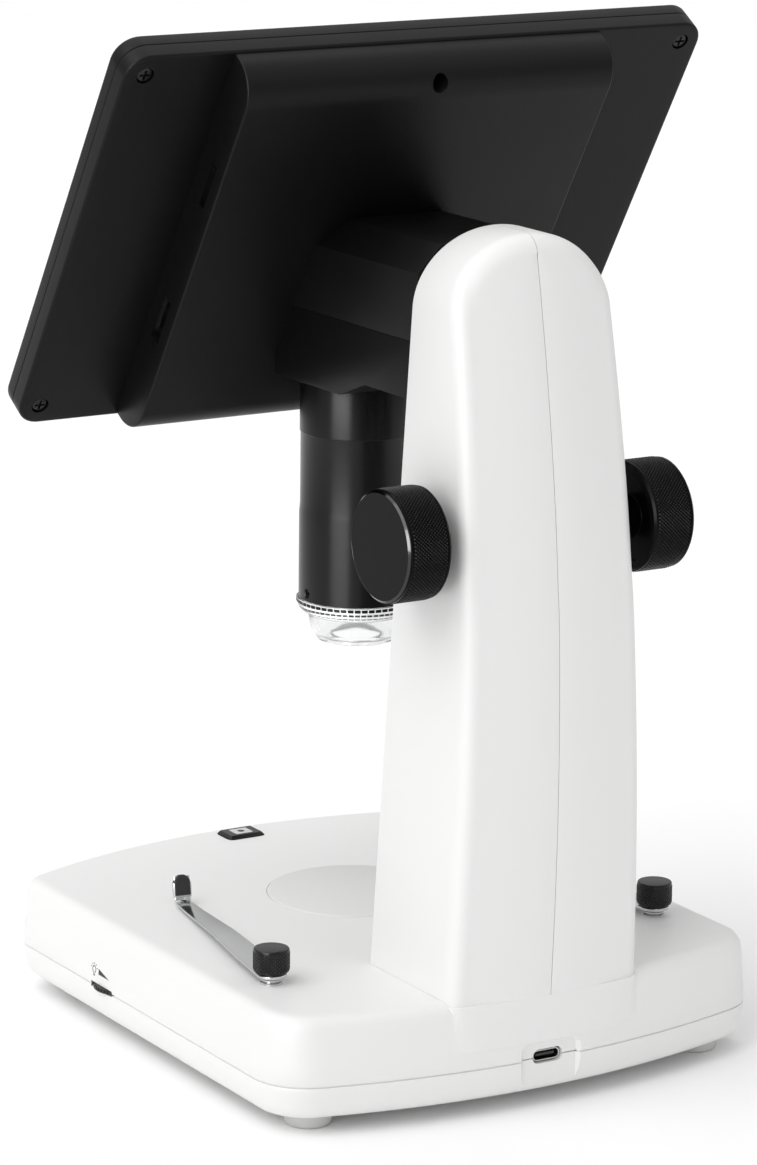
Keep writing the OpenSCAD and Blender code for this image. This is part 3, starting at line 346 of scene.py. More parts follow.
# %% Materials
WHITE = material("white_plastic", (0.86, 0.86, 0.855), 0.42, scale=1400, depth=0.06)
BLACK = material("black_plastic", (0.0035, 0.0035, 0.0037), 0.36, scale=2200, depth=0.2, vary=0.1,
                 Specular_IOR_Level=0.17)
SATIN = material("black_satin_paint", (0.003, 0.003, 0.0032), 0.3, TURNED, scale=1500, depth=0.08,
                 Specular_IOR_Level=0.3, Anisotropic=0.85, Anisotropic_Rotation=0.25)
ANODISED = material("black_anodised", (0.002, 0.002, 0.0021), 0.24, scale=1600, depth=0.08,
                    Specular_IOR_Level=0.07)
GLOSSY = material("glossy_black", (0.003, 0.003, 0.0031), 0.2, scale=1600, Specular_IOR_Level=0.3)
STEEL = material("polished_steel", (0.60, 0.603, 0.61), 0.1, POLISHED, scale=700, Metallic=1.0)
SCREW = material("screw_steel", (0.36, 0.36, 0.37), 0.3, TURNED, scale=1800, depth=0.15, Metallic=1.0)
BLACK_SCREW = material("blacked_screw", (0.03, 0.03, 0.032), 0.3, TURNED, depth=0.2, Metallic=0.8)
ALUMINIUM = material("bare_aluminium", (0.72, 0.73, 0.74), 0.32, POLISHED, scale=1200, depth=0.1,
                     Metallic=1.0)
NYLON = material("black_nylon", (0.028, 0.028, 0.028), 0.5, scale=1300, depth=0.1)
RUBBER = material("black_rubber", (0.012, 0.012, 0.012), 0.58, scale=1100, depth=0.2)
PALE_RUBBER = material("pale_rubber", (0.62, 0.62, 0.61), 0.6, scale=1100, depth=0.2)
MILKY = material("milky_plate", (0.77, 0.77, 0.765), 0.4, scale=800, depth=0.03)
CLEAR = material("clear_plastic", (0.985, 0.99, 0.99), 0.07, scale=300, depth=0.04,
                 Transmission_Weight=0.96, IOR=1.46)
LENS = material("lens_glass", (0.75, 0.85, 0.95), 0.01, scale=60, depth=0.0, Transmission_Weight=1.0, IOR=1.5)
GLASS = material("display_glass", (0.006, 0.007, 0.009), 0.07, scale=60, depth=0.004, vary=0.01,
                 Coat_Weight=0.6)
PANEL = material("display_panel", (0.02, 0.022, 0.028), 0.3)
BOARD = material("green_board", (0.012, 0.09, 0.035), 0.35, scale=1000, depth=0.1)
LIT = material("lit_reflector", (0.92, 0.92, 0.92), 0.4, Emission_Color=(1, 1, 1, 1), Emission_Strength=0.45)
LAMPS = material("lamp_board", (0.8, 0.8, 0.76), 0.4, depth=0.08)
KEYCAP = material("key_rubber", (0.012, 0.012, 0.013), 0.42, scale=1600, depth=0.15)
CUT_EDGE = material("cut_edge", (0.06, 0.06, 0.062), 0.12, TURNED, scale=1600, Metallic=1.0)
INK_GREY = material("grey_ink", (0.035, 0.035, 0.036), 0.5)
INK_PALE = material("pale_ink", (0.62, 0.63, 0.64), 0.5)
SLOTS = {
    "white_shell": WHITE, "base_bottom": WHITE, "black_shell": BLACK, "display_glass": GLASS,
    "display_panel": PANEL, "black_metal": SATIN, "knob_black": ANODISED, "spring_steel": STEEL,
    "bright_steel": STEEL, "screw_steel": SCREW, "rail_aluminium": ALUMINIUM, "bush_nylon": NYLON,
    "rack_nylon": NYLON, "rubber": RUBBER, "foot_rubber": PALE_RUBBER, "diffuser": MILKY,
    "clear_ring": CLEAR, "lens_glass": LENS, "circuit_board": BOARD, "lamp_board": LAMPS,
    "key_grey": KEYCAP}
SUBPARTS = {row["node"]: row["material_slot"] for row in frame["record"]["subparts"]}
FINISHES = {mat.name: slot for slot, mat in reversed(SLOTS.items())}
FINISHES.update(knurled_black="knob_black", cut_edge="knob_black", glossy_black="knob_black",
                blacked_screw="screw_steel", lit_reflector="lamp_board", grey_ink="white_shell",
                pale_ink="key_grey")
for name, slot in SUBPARTS.items():
    root = frame["nodes"].get(name)
    for part in [root] + list(root.children_recursive) if root else []:
        if part.type == "MESH":
            part.data.materials.clear()
            part.data.materials.append(SLOTS[slot])
print(len(bpy.data.materials), "materials")

# %% [markdown]
# The base has two bulged edges, two straight sides and four round corners. The same outline drawn in step by
# step gives the draft of the walls and the soft edge round the deck. The arcs are finer here than in the
# working model, because this is the face that the light runs along.

# %% Outlines of the base and of the stand's foot


def base_outline(inset, n_corner=14, n_edge=40):
    w, rcf, rcb = BASE_W / 2 - inset, CORNER_FRONT - inset, CORNER_BACK - inset
    rb, rf = BULGE_BACK - inset, BULGE_FRONT - inset
    cb, cf = BASE_D / 2 - BULGE_BACK, BULGE_FRONT - BASE_D / 2
    xb, xf = w - rcb, w - rcf
    yb, yf = cb + math.sqrt((rb - rcb) ** 2 - xb * xb), cf - math.sqrt((rf - rcf) ** 2 - xf * xf)
    ab, af = math.atan2(yb - cb, xb), math.atan2(cf - yf, xf)
    pi = math.pi
    return (arc(xf, yf, rcf, -af, 0, n_corner) + arc(xb, yb, rcb, 0, ab, n_corner)
            + arc(0, cb, rb, ab, pi - ab, n_edge)[1:-1] + arc(-xb, yb, rcb, pi - ab, pi, n_corner)
            + arc(-xf, yf, rcf, pi, pi + af, n_corner) + arc(0, cf, rf, pi + af, 2 * pi - af, n_edge)[1:-1])


def stand_plan(grow):
    half, front, back, r = STAND_HALF + grow, STAND_FRONT - grow, STAND_BACK + grow, STAND_CORNER + grow
    out = [(half - 1.2, front), (half, front + 1.2)]
    out += arc(half - r, back - 2.4 - r, r, 0, math.radians(80), 8)
    out += [(x, back - 2.4 * (x / (half - r)) ** 2) for x in [(half - r) * (0.9 - 0.2 * k) for k in range(10)]]
    return out + [(-x, y) for x, y in reversed(out[:11])]


print("base outline:", len(base_outline(0)), "points; foot of the stand:", len(stand_plan(0)), "points")

# %% [markdown]
# The upper shell is a hollow lid. A mould core makes its inside, and the cuts after it are the seat of the
# stand, the recess of the round plate, the hole of the push button, the slot of the brightness wheel and
# the bevelled recess that the power plug goes into.

# %% Base shells
deck_edge = [(0.6, 14.75), (0.12, 14.86), (0.0, 15.2), (0.3, 20), (0.75, 26.5), (1.1, 30.6), (1.4, 31.9),
             (1.9, 32.9), (2.6, 33.7), (3.5, 34.2), (4.5, 34.44), (5.6, 34.5)]
top = stack("upper_base_shell", base_outline, deck_edge)
seat = prism("seat", stand_plan(0.7), 20, STAND_FOOT_Z)
cut(seat, stack("keep", base_outline, [(0.0, 16), (0.15, 34)]), how="INTERSECT")
cut(top, seat, how="UNION")


def shared_openings():
    # Both shells have a part of the wheel's slot and of the inlet's recess, mouth and joint line
    y0, y1 = 92.6, 95.0
    near = [(-9.4, y0, 2), (8.4, y0, 2), (8.4, y0, 17.8), (7.2, y0, 19.0), (-8.2, y0, 19.0), (-9.4, y0, 17.8)]
    far = [(-11.8, y1, 2), (10.8, y1, 2), (10.8, y1, 18.2), (8.4, y1, 20.6), (-9.4, y1, 20.6),
           (-11.8, y1, 18.2)]
    through = at(0, 92, 15) @ Matrix.Rotation(-math.pi / 2, 4, "X")
    return [disc("slot", 10.4, 13.9, 15.65, at(*WHEEL)), loft("recess", [near, far]),
            prism("mouth", rounded_rect(9.9, 4.2, 1.9), -10, 20, through),
            block("joint_line", (-12.5, 91.7, 14.6), (11.5, 92.9, 14.96))]


cut(top, stack("core", base_outline, [(3.5, 14.0), (3.5, 32.1)]),
    prism("foot_seat", stand_plan(0.1), STAND_FOOT_Z, 40),
    disc("plate_seat", 26.15, 32.7, 40, AXIS, n=128),
    disc("window", 23.6, 20, 40, AXIS, n=128),
    prism("button_hole", rounded_rect(13.0, 9.6, 2.1), 20, 40, at(0, BUTTON_Y)), *shared_openings())
dress(top, "base", WHITE, "base_top_shell")

bottom_edge = [(5.0, 4.5), (4.0, 4.65), (3.0, 5.1), (2.2, 5.8), (1.5, 6.7), (1.0, 7.8), (0.6, 9.1),
               (0.3, 10.8), (0.08, 12.6), (0.0, 14.0), (0.1, 14.36), (0.6, 14.44), (0.6, 14.8)]
bottom = stack("lower_base_shell", base_outline, bottom_edge)
FEET = [(sx * 65.5, y) for sx in (-1, 1) for y in (-67.2, 71.0)]
BASE_SCREWS = [(-68.5, -48), (68.5, -58), (-68.5, 30), (68.5, 30)]
cut(bottom, *shared_openings(), *[disc("foot_seat", 7.1, 4, 5.3, at(x, y)) for x, y in FEET],
    *[disc("screw_bore", 3.1, 4, 10.2, at(x, y)) for x, y in BASE_SCREWS])
dress(bottom, "base", WHITE, "base_bottom_shell")

# %% [markdown]
# The four feet are soft pads pressed into shallow seats. They are a little narrower at the table and their
# lower edge is round, so they don't mark a bench. The round plate is milky and stands just above the deck.

# %% Feet and stage plate
foot = [(0, 0), (5.6, 0), (6.2, 0.15), (6.6, 0.6), (6.8, 1.4), (7.0, 3.2), (7.0, 5.2), (0, 5.2)]
feet = join("rubber_feet", *[lathe("foot", foot, at(x, y), n=48) for x, y in FEET])
dress(feet, "base", PALE_RUBBER, "base_feet")
plate = lathe("stage_plate", [(0, 32.7), (26.0, 32.7), (26.0, 34.5), (25.8, 34.76), (25.4, 34.9), (0, 34.9)],
              AXIS, n=128)
dress(plate, "base", MILKY, "stage_disc")

# %% [markdown]
# Each half of the stand is one moulded shell. Its outline from the front is a straight side that leans in,
# closed by half an ellipse. The skin runs from the front rim, along the side, round the back edge and over
# the slightly swollen back to the seam. The inner skin follows it one wall thickness further in.

# %% Skin of the stand
HEIGHTS = [0, 0.004] + [k / 24 for k in range(1, 25)] + [1 + k / 22 for k in range(1, 23)]


def stand_edge(t):
    # Point of the outline from the front at t, and its inward direction
    if t <= 1:
        return STAND_HALF - STAND_LEAN * t, STAND_H * t, Vector((-1, -0.031)).normalized()
    a = (t - 1) * math.pi / 2
    inward = Vector((-math.cos(a) / ARCH_HALF, -math.sin(a) / STAND_ARCH)).normalized()
    return ARCH_HALF * math.cos(a), STAND_H + STAND_ARCH * math.sin(a), inward


def stand_back(h, x, half):
    y = STAND_BACK + 1.8 * math.sin(math.pi * min(1, h / STAND_H / 0.62))
    y -= 10.9 * (max(0, h - 105) / 86.2) ** 1.5
    return y - 2.4 * min(1.0, abs(x) / max(half, 1.0)) ** 2


def stand_row(t, wall):
    # One level of the skin, from the front rim round the back edge to the seam
    ex, ez, (nx, nz) = stand_edge(t)
    half, radius, row = STAND_HALF - STAND_LEAN * min(t, 1) - STAND_CORNER, STAND_CORNER - wall, []

    def put(inset, y_of):
        x, h = max(ex + nx * inset, 0.1), ez + nz * inset
        row.append((x, y_of(h, x), STAND_FOOT_Z + h))

    for inset, setback in [(wall, 0)] if wall else [(1.2, 0), (0.55, 0.2), (0.15, 0.6), (0, 1.2)]:
        put(inset, lambda h, x: STAND_FRONT + 8.8 * h / STAND_H + setback)
    for k in range(9):
        a = k / 8 * math.pi / 2
        put(wall + radius * (1 - math.cos(a)),
            lambda h, x: stand_back(h, x, half) - wall - radius * (1 - math.sin(a)))
    x0, _, z0 = row[-1]
    for k in range(1, 8):
        x = min(x0, 0.1 + (x0 - 0.1) * (1 - k / 8) + 0.3 * k / 8)
        row.append((x, stand_back(z0 - STAND_FOOT_Z, x, half) - wall, z0))
    row.append((0.1, stand_back(z0 - STAND_FOOT_Z, 0, half) - (wall or 0.3), z0))
    return row


print("stand skin:", len(HEIGHTS), "levels of", len(stand_row(0, 0)), "points")

# %% [markdown]
# The outer and the inner skin are closed along their four rims. Ribs stiffen each half and carry the guide
# rails, a boss holds the bush of the focus shaft, and a foot plate takes the screws from below.

# %% Stand halves


def stand_half(name, side):
    points, faces, grids = [], [], []
    for wall in (0, STAND_WALL):
        rows = [stand_row(t, wall) for t in HEIGHTS]
        n, first = len(rows[0]), len(points)
        points += [(side * x, y, z) for row in rows for x, y, z in row]
        grid = [[first + r * n + c for c in range(n)] for r in range(len(rows))]
        faces += [(a[c], a[c + 1], b[c + 1], b[c]) for a, b in zip(grid, grid[1:]) for c in range(n - 1)]
        grids.append(grid)
    outer, inner = grids
    rims = [([row[end] for row in outer], [row[end] for row in inner]) for end in (0, -1)]
    rims += [(outer[end][::-1], inner[end][::-1]) for end in (-1, 0)]
    for p, q in rims:
        # The outer skin has three more columns at its front rim, so its rows are stitched from the back
        faces += [(p[k], p[k + 1], q[k + 1], q[k]) for k in range(min(len(p), len(q)) - 1)]
        faces += [(p[k - 1], p[k], q[-1]) for k in range(len(q), len(p))]
    return shape(name, points, faces)


for side, word in SIDES:
    shell = stand_half("stand_half_" + word, side)
    cut(shell, disc("bush_hole", 4.5, 10, 60, on_shaft(side), n=48))
    parts = [shell]
    for z in (88, 123.8, 201.6):
        reach = (ARCH_HALF + STAND_LEAN * max(0, 1 - (z + 5 - STAND_FOOT_Z) / STAND_H)) - 1.0
        parts.append(side_block("rib", side, (22.7, 58.6, z), (reach, 67.45, z + 5)))
    boss_profile = [(4.5, 25.6), (7, 25.6), (7, 27), (4.5, 27)]
    parts.append(lathe("bush_boss", boss_profile, on_shaft(side), n=48, closed=True))
    parts.append(side_block("foot_plate", side, (0.1, 52.5, STAND_FOOT_Z), (29, 88, 36.7)))
    dress(join("stand_half_" + word, *parts), "base", WHITE, "stand_shell_" + word, angle=30)

# %% [markdown]
# Parts that repeat by a rule are made by small node trees: the diamond knurl of the knobs and the ribs, lamps
# and screws that stand in rows or rings. Each tree has named inputs, and its result is turned into a plain
# mesh, because the real parts are single pieces too.

# %% Rule helpers


def geometry_tree(name, *wants):
    return new_tree(name, "GeometryNodeTree", [*wants, ("Material", "Material", None)],
                    [("Geometry", "Geometry")])


def end_tree(tree, got, out, geometry):
    real = node(tree, "GeometryNodeRealizeInstances", {"Geometry": geometry})
    done = node(tree, "GeometryNodeSetMaterial", {"Geometry": real[0], "Material": got["Material"]})
    tree.links.new(done[0], out[0])
    print(tree.name, len(tree.nodes), "nodes")


def grow(name, tree, mat, matrix, **values):
    carrier = add_object(name, bpy.data.meshes.new(name))
    step = carrier.modifiers.new("rule", "NODES")
    step.node_group = tree
    values["Material"] = mat
    for item in tree.interface.items_tree:
        if item.in_out == "INPUT" and item.name in values:
            step[item.identifier] = values[item.name]
    bake(carrier)
    scaled = matrix.copy()
    scaled.translation *= MM
    carrier.data.transform(scaled)
    return carrier


# %% [markdown]
# A diamond knurl is rolled into a knob between two rollers. Its teeth are pyramids whose valleys cross at a
# slant. A grid wrapped round the knob gives them: points with an even sum of row and column are tips, and
# the others lie in the valleys. The tips are marked, so that the finish can paint them lighter: a painted
# highlight that stands in for the glints of light on them.

# %% Knurl tree
knurl, got, out = geometry_tree(
    "diamond_knurl", ("Radius", "Float", 0.0155), ("Depth", "Float", 0.0004), ("Width", "Float", 0.01),
    ("Around", "Int", 160), ("Rows", "Int", 14))


def sums(*terms):
    return calc(knurl, *terms)


grid = node(knurl, "GeometryNodeMeshGrid", {
    "Size X": 1.0, "Size Y": 1.0, "Vertices X": sums("ADD", got["Around"], 1.0), "Vertices Y": got["Rows"]})
flat = node(knurl, "ShaderNodeSeparateXYZ", {0: node(knurl, "GeometryNodeInputPosition")[0]})
u, v = [sums("ADD", flat[axis], 0.5) for axis in "XY"]
last_row = sums("SUBTRACT", got["Rows"], 1.0)
column = sums("ROUND", sums("MULTIPLY", u, got["Around"]))
row = sums("ROUND", sums("MULTIPLY", v, last_row))
valley = sums("PINGPONG", sums("ADD", column, row), 1.0)
low = sums("MAXIMUM", valley, sums("MAXIMUM", *[sums("COMPARE", row, end, 0.1) for end in (0.0, last_row)]))
radius = sums("SUBTRACT", got["Radius"], sums("MULTIPLY", low, got["Depth"]))
angle = sums("MULTIPLY", u, 2 * math.pi)
spot = node(knurl, "ShaderNodeCombineXYZ", {
    "X": sums("MULTIPLY", sums("COSINE", angle), radius), "Y": sums("MULTIPLY", sums("SINE", angle), radius),
    "Z": sums("MULTIPLY", v, got["Width"])})
marked = node(knurl, "GeometryNodeStoreNamedAttribute", {
    "Geometry": grid[0], "Name": "tip", "Value": sums("SUBTRACT", 1.0, low)},
    data_type="FLOAT", domain="POINT")
wrapped = node(knurl, "GeometryNodeSetPosition", {"Geometry": marked[0], "Position": spot[0]})
joined = node(knurl, "GeometryNodeMergeByDistance", {"Geometry": wrapped[0], "Distance": 1e-6})
split = node(knurl, "GeometryNodeTriangulate", {0: joined[0]})
end_tree(knurl, got, out, split[0])
KNURLED = material("knurled_black", (0.003, 0.003, 0.0032), 0.25, scale=1600, Specular_IOR_Level=0.2)
tree = KNURLED.node_tree
# Painted highlight: the marked tips get a light grey base colour in place of the glints of light on the knurl
tip_glint_ramp = tree.nodes.new("ShaderNodeValToRGB")
glint_ramp_dark, glint_ramp_bright = tip_glint_ramp.color_ramp.elements
glint_ramp_dark.position, glint_ramp_dark.color = 0.86, (0.002, 0.002, 0.0021, 1)
glint_ramp_bright.position, glint_ramp_bright.color = 1.0, (0.55, 0.55, 0.56, 1)
tree.links.new(node(tree, "ShaderNodeAttribute", attribute_name="tip")["Fac"], tip_glint_ramp.inputs["Fac"])
tree.links.new(tip_glint_ramp.outputs["Color"], tree.nodes["Principled BSDF"].inputs["Base Color"])

# %% [markdown]
# Small blocks stand in a ring round an axis: the lamps and the ribs inside the lamp ring, and the grip ribs
# of the brightness wheel. Every block looks outwards, as a machined or moulded pattern would.

# %% Ring tree
ring_tree, got, out = geometry_tree(
    "ring_of_blocks", ("Count", "Int", 12), ("Radius", "Float", 0.016),
    ("Size", "Vector", (0.001, 0.001, 0.001)), ("Height", "Float", 0.0))
circle = node(ring_tree, "GeometryNodeMeshCircle", {"Vertices": got["Count"], "Radius": got["Radius"]})
brick = node(ring_tree, "GeometryNodeMeshCube", {"Size": got["Size"]})
spot = node(ring_tree, "ShaderNodeSeparateXYZ", {0: node(ring_tree, "GeometryNodeInputPosition")[0]})
turn = node(ring_tree, "ShaderNodeCombineXYZ", {"Z": calc(ring_tree, "ARCTAN2", spot["Y"], spot["X"])})
many = node(ring_tree, "GeometryNodeInstanceOnPoints", {
    "Points": circle[0], "Instance": brick[0], "Rotation": turn[0]})
lift = node(ring_tree, "ShaderNodeCombineXYZ", {"Z": got["Height"]})
moved = node(ring_tree, "GeometryNodeTransform", {"Geometry": many[0], "Translation": lift[0]})
end_tree(ring_tree, got, out, moved[0])

# %% [markdown]
# Screws with a cross recess close the base and the display case. Four equal screws sit at the corners of the
# case, so a tree copies one screw to the corners of a rectangle. Those of the base stand at uneven places.

# %% Screws
screw_tree, got, out = geometry_tree(
    "screws_at_corners", ("Screw", "Object", None), ("Width", "Float", 0.1), ("Depth", "Float", 0.1))
corners = node(screw_tree, "GeometryNodeMeshGrid", {
    "Size X": got["Width"], "Size Y": got["Depth"], "Vertices X": 2, "Vertices Y": 2})
source = node(screw_tree, "GeometryNodeObjectInfo", {"Object": got["Screw"]})
many = node(screw_tree, "GeometryNodeInstanceOnPoints", {"Points": corners[0], "Instance": source["Geometry"]})
end_tree(screw_tree, got, out, many[0])


def screw(name, shank, length, head, height):
    # A pan head pointing down, with a cross recess, over a plain shank
    r, w, d = head / 2, head * 0.33, head * 0.075
    made = lathe(name, [
        (0, -height), (head * 0.36, -height), (head * 0.45, -height * 0.86), (r, -height * 0.5), (r, 0),
        (shank / 2, 0), (shank / 2, length - 0.5), (shank * 0.35, length), (0, length)], n=40)
    return cut(made, block("slot", (-w, -d, -height - 1), (w, d, -height * 0.5)),
               block("slot", (-d, -w, -height - 1), (d, w, -height * 0.5)))


one = screw("base_screw", 2.6, 13, 5.55, 2)
parts = []
for x, y in BASE_SCREWS:
    parts.append(add_object("base_screw", one.data.copy()))
    parts[-1].data.transform(at(x * MM, y * MM, 10.2 * MM))
bpy.data.objects.remove(one)
dress(join("closing_screws", *parts), "base", SCREW, "base_screws")
one = screw("case_screw", 2.6, 6.2, 4.8, 1.5)
screws = grow("case_screws", screw_tree, BLACK_SCREW, SCREEN @ at(0, 0, 1.8), Screw=one, Width=0.1768,
              Depth=0.1206)
bpy.data.objects.remove(one)
dress(screws, "camera_head", BLACK_SCREW, "screen_screws")

# %% [markdown]
# The focus knobs are turned from aluminium and anodised black. The flat end is smooth, a polished bevel runs
# round it, and the side is knurled between two plain bands. The back is hollowed round its hub.

# %% Focus knobs
r, f, b = KNOB_R, KNOB_FACE, KNOB_BACK
knob_profile = [
    (0, f), (r - 1.2, f), (r - 1.1, f - 0.04), (r - 0.55, f - 0.55), (r - 0.3, f - 0.75), (r - 0.3, f - 1.5),
    (r - 0.46, f - 1.6), (r - 0.46, b + 1.2), (r - 0.3, b + 1.1), (r - 0.3, b + 0.6), (r - 0.9, b),
    (r - 2.9, b), (r - 3.05, b + 1.9), (6.2, b + 2.0), (6.0, b + 1.8), (6.0, 30.8), (2.52, 30.8),
    (2.52, f - 2.5), (0, f - 2.5)]
bevel_profile = [(r - 1.12, f + 0.01), (r - 0.53, f - 0.54), (r - 0.8, f - 0.65), (r - 1.3, f - 0.2)]
knurl_width = KNOB_FACE - KNOB_BACK - 2.7
for side, word in SIDES:
    body = lathe("focus_knob_body_" + word, knob_profile, on_shaft(side), n=128)
    dress(body, "focus_knobs", ANODISED, "focus_knob_" + word, angle=20)
    bevel = lathe("focus_knob_bevel_" + word, bevel_profile, on_shaft(side), n=128, closed=True)
    dress(bevel, "focus_knobs", CUT_EDGE)
    grip = grow("focus_knob_grip_" + word, knurl, KNURLED, on_shaft(side, side * (b + 1.15)), Radius=r * MM,
                Depth=0.00048, Width=knurl_width * MM, Around=190, Rows=int(knurl_width / 0.55) + 1)
    dress(grip, "focus_knobs", KNURLED, angle=15)

# %% [markdown]
# The brightness wheel lies flat behind a slot in the side wall, so that only its ribbed rim is touched. The
# push button stands a little above the deck, with a bevel round its flat top and a pale square mark on it.

# %% Wheel and push button
wheel = lathe("wheel", [(1.55, 14.05), (8.9, 14.05), (9.15, 14.2), (9.15, 15.35), (8.9, 15.5), (1.55, 15.5)],
              at(*WHEEL), closed=True)
ribs = grow("ribs", ring_tree, KEYCAP, at(*WHEEL), Count=44, Radius=0.00915, Size=(0.0007, 0.0007, 0.0012),
            Height=0.0148)
dress(join("brightness_wheel", wheel, ribs), "dimmer_wheel", KEYCAP, "dimmer_wheel")


def button_outline(inset):
    corner = max(0.8 - inset / 2, 0.35)
    return [(x, y + BUTTON_Y) for x, y in rounded_rect(12.4 - 2 * inset, 9 - 2 * inset, corner, 5)]


button = stack("button", button_outline, [
    (-1, 30.6), (-1, 31.8), (0, 31.8), (0, 34.6), (0.08, 34.8), (0.72, 35.5), (0.85, 35.6)])
stem = disc("stem", 1.7, 30, 31, at(0, BUTTON_Y), n=32)
dress(join("push_button", button, stem), "capture_button", GLOSSY, "capture_button", angle=12)
sign = prism("button_sign", rounded_rect(6.0, 5.2, 0.5, 4), 35.57, 35.63, at(0, BUTTON_Y))
cut(sign, disc("eye", 1.15, 35, 37, at(0, BUTTON_Y), n=32))
dress(sign, "capture_button", INK_PALE)

# %% [markdown]
# Two plain signs above the wheel's slot say that it sets the light: a lamp with rays, and a wedge that grows
# from dim to bright. They are printed on the real wall, so here they are films of ink as thin as paper.

# %% Signs on the side wall
lean = math.atan2(0.3, 4.7)
WALL = at(BASE_W / 2 - 0.2, 0, 18.4) @ Matrix((
    (0, -math.sin(lean), math.cos(lean), 0), (1, 0, 0, 0), (0, math.cos(lean), math.sin(lean), 0), (0, 0, 0, 1)))
BULB, INK_LOW, INK_HIGH = (-26.4, 1.05), -0.05, 0.03
signs = [prism("wedge", [(-23.7, 0.1), (-17.2, 0.1), (-23.7, 1.85)], INK_LOW, INK_HIGH, WALL)]
outer, inner = [[(foot_x[0], foot_y)] + arc(*BULB, r, -1.1, math.pi + 1.1, 20) + [(foot_x[1], foot_y)]
                for foot_x, foot_y, r in (((-25.95, -26.85), -0.9, 1.12), ((-26.2, -26.6), -0.62, 0.82))]
signs.append(flat_ring("bulb", outer, inner, INK_LOW, INK_HIGH, WALL))
for k in range(5):
    ray = at(*BULB) @ Matrix.Rotation(math.radians(18 + 36 * k), 4, "Z")
    signs.append(block("ray", (1.5, -0.14, INK_LOW), (2.05, 0.14, INK_HIGH), WALL @ ray))
dress(join("light_signs", *signs), "base", INK_GREY)

# %% [markdown]
# A stage clip is one strip of polished spring steel. It is round at the post, narrows towards the tip, slopes
# down to the stage and turns up at the end, so that a slide can be pushed under it. The path is drawn along
# the strip, with its height above the table.

# %% Path and cross section of a clip
PATH = [(-5, 36.7), (0, 36.7), (20, 36.7), (34.8, 36.7), (42, 36.62), (50, 36.2), (58, 35.75), (66, 35.34),
        (73, 35.2), (75.6, 35.2), (76.5, 35.4), (77.05, 35.9), (77.3, 36.7), (77.7, 38.6), (78.25, 40.9),
        (78.8, 43.2)]
STRIP_T = 0.8


def path_frame(k):
    a, b = Vector(PATH[max(k - 1, 0)]), Vector(PATH[min(k + 1, len(PATH) - 1)])
    d = (b - a).normalized()
    return Vector(PATH[k]), Vector((-d.y, d.x))


def strip_ring(p, n, half, low, high, bevel=0.12, crown=0.0):
    # One cross section of a strip; crown lifts the middle of both faces, as rolling leaves it
    w = half - bevel
    profile = [(-half, low + bevel)] + [(w * k / 3, low) for k in range(-3, 4)] + [(half, low + bevel)]
    profile += [(half, high - bevel)] + [(-w * k / 3, high) for k in range(-3, 4)] + [(-half, high - bevel)]
    out = []
    for y, t in profile:
        t += crown * (1 - min(1, abs(y) / max(w, 0.1)) ** 2)
        out.append((p.x + n.x * t, y, p.y + n.y * t))
    return out


print("clip path:", len(PATH), "points over", PATH[-1][0], "mm")

# %% [markdown]
# The blade starts with a half round end and follows the path. A crimp grips it where it turns up, and a black
# rubber sleeve with a round end covers the tip.

# %% Stage clips
blade = []
for k in range(13):
    a = math.pi / 2 * (1 - k / 12)
    p, half = Vector((-4.4 * math.sin(a), 36.7)), max(4.4 * math.cos(a), 0.16)
    blade.append(strip_ring(p, Vector((0, 1)), half, 0, STRIP_T))
for k in range(2, len(PATH)):
    p, n = path_frame(k)
    half = 5 - 2.6 * min(1, p.x / 77.4) - 0.6 * max(0, 1 - p.x / 20)
    blade.append(strip_ring(p, n, half, 0, STRIP_T, crown=0.22 * min(1, max(0, p.x - 6) / 20)))
crimp = []
for k, swell in ((-4, 0.32), (-3, 0.4), (-2, 0.4)):
    p, n = path_frame(len(PATH) + k)
    crimp.append(strip_ring(p + Vector((0.1, 0.35)), n, 2.4 + swell, -swell, STRIP_T + swell, 0.25))
sleeve = []
along = Vector((0.24, 1)).normalized()
n = Vector((-along.y, along.x))
for distance, wide, thick in (
        (0, 2.45, 0.5), (0.12, 2.55, 0.6), (0.4, 2.6, 0.62), (3.4, 2.6, 0.62), (4.4, 2.45, 0.62),
        (5.1, 2.1, 0.6), (5.6, 1.65, 0.52), (5.9, 1.2, 0.4), (6.1, 0.7, 0.2)):
    p = Vector((77.5, 37.6)) + along * distance
    sleeve.append(strip_ring(p, n, wide, -thick + 0.05, 0.75 + thick, min(0.35, thick * 0.8)))
for side, word in SIDES:
    swing = at(side * POST_X, POST_Y) @ Matrix.Rotation(math.radians(-90 - side * 10), 4, "Z")
    dress(loft("stage_clip_" + word, blade, swing), "clip_" + word, STEEL, "clip_" + word, angle=28)
    dress(loft("clip_crimp_" + word, crimp, swing), "clip_" + word, STEEL)
    dress(loft("clip_sleeve_tip_" + word, sleeve, swing), "clip_" + word, RUBBER, "clip_sleeve_" + word)

# %% [markdown]
# Each clip turns on a steel post. A collar and two thin washers carry it, and a small knurled knob on top
# holds it down. The knob's top is flat and glossy, with a narrow bevel.

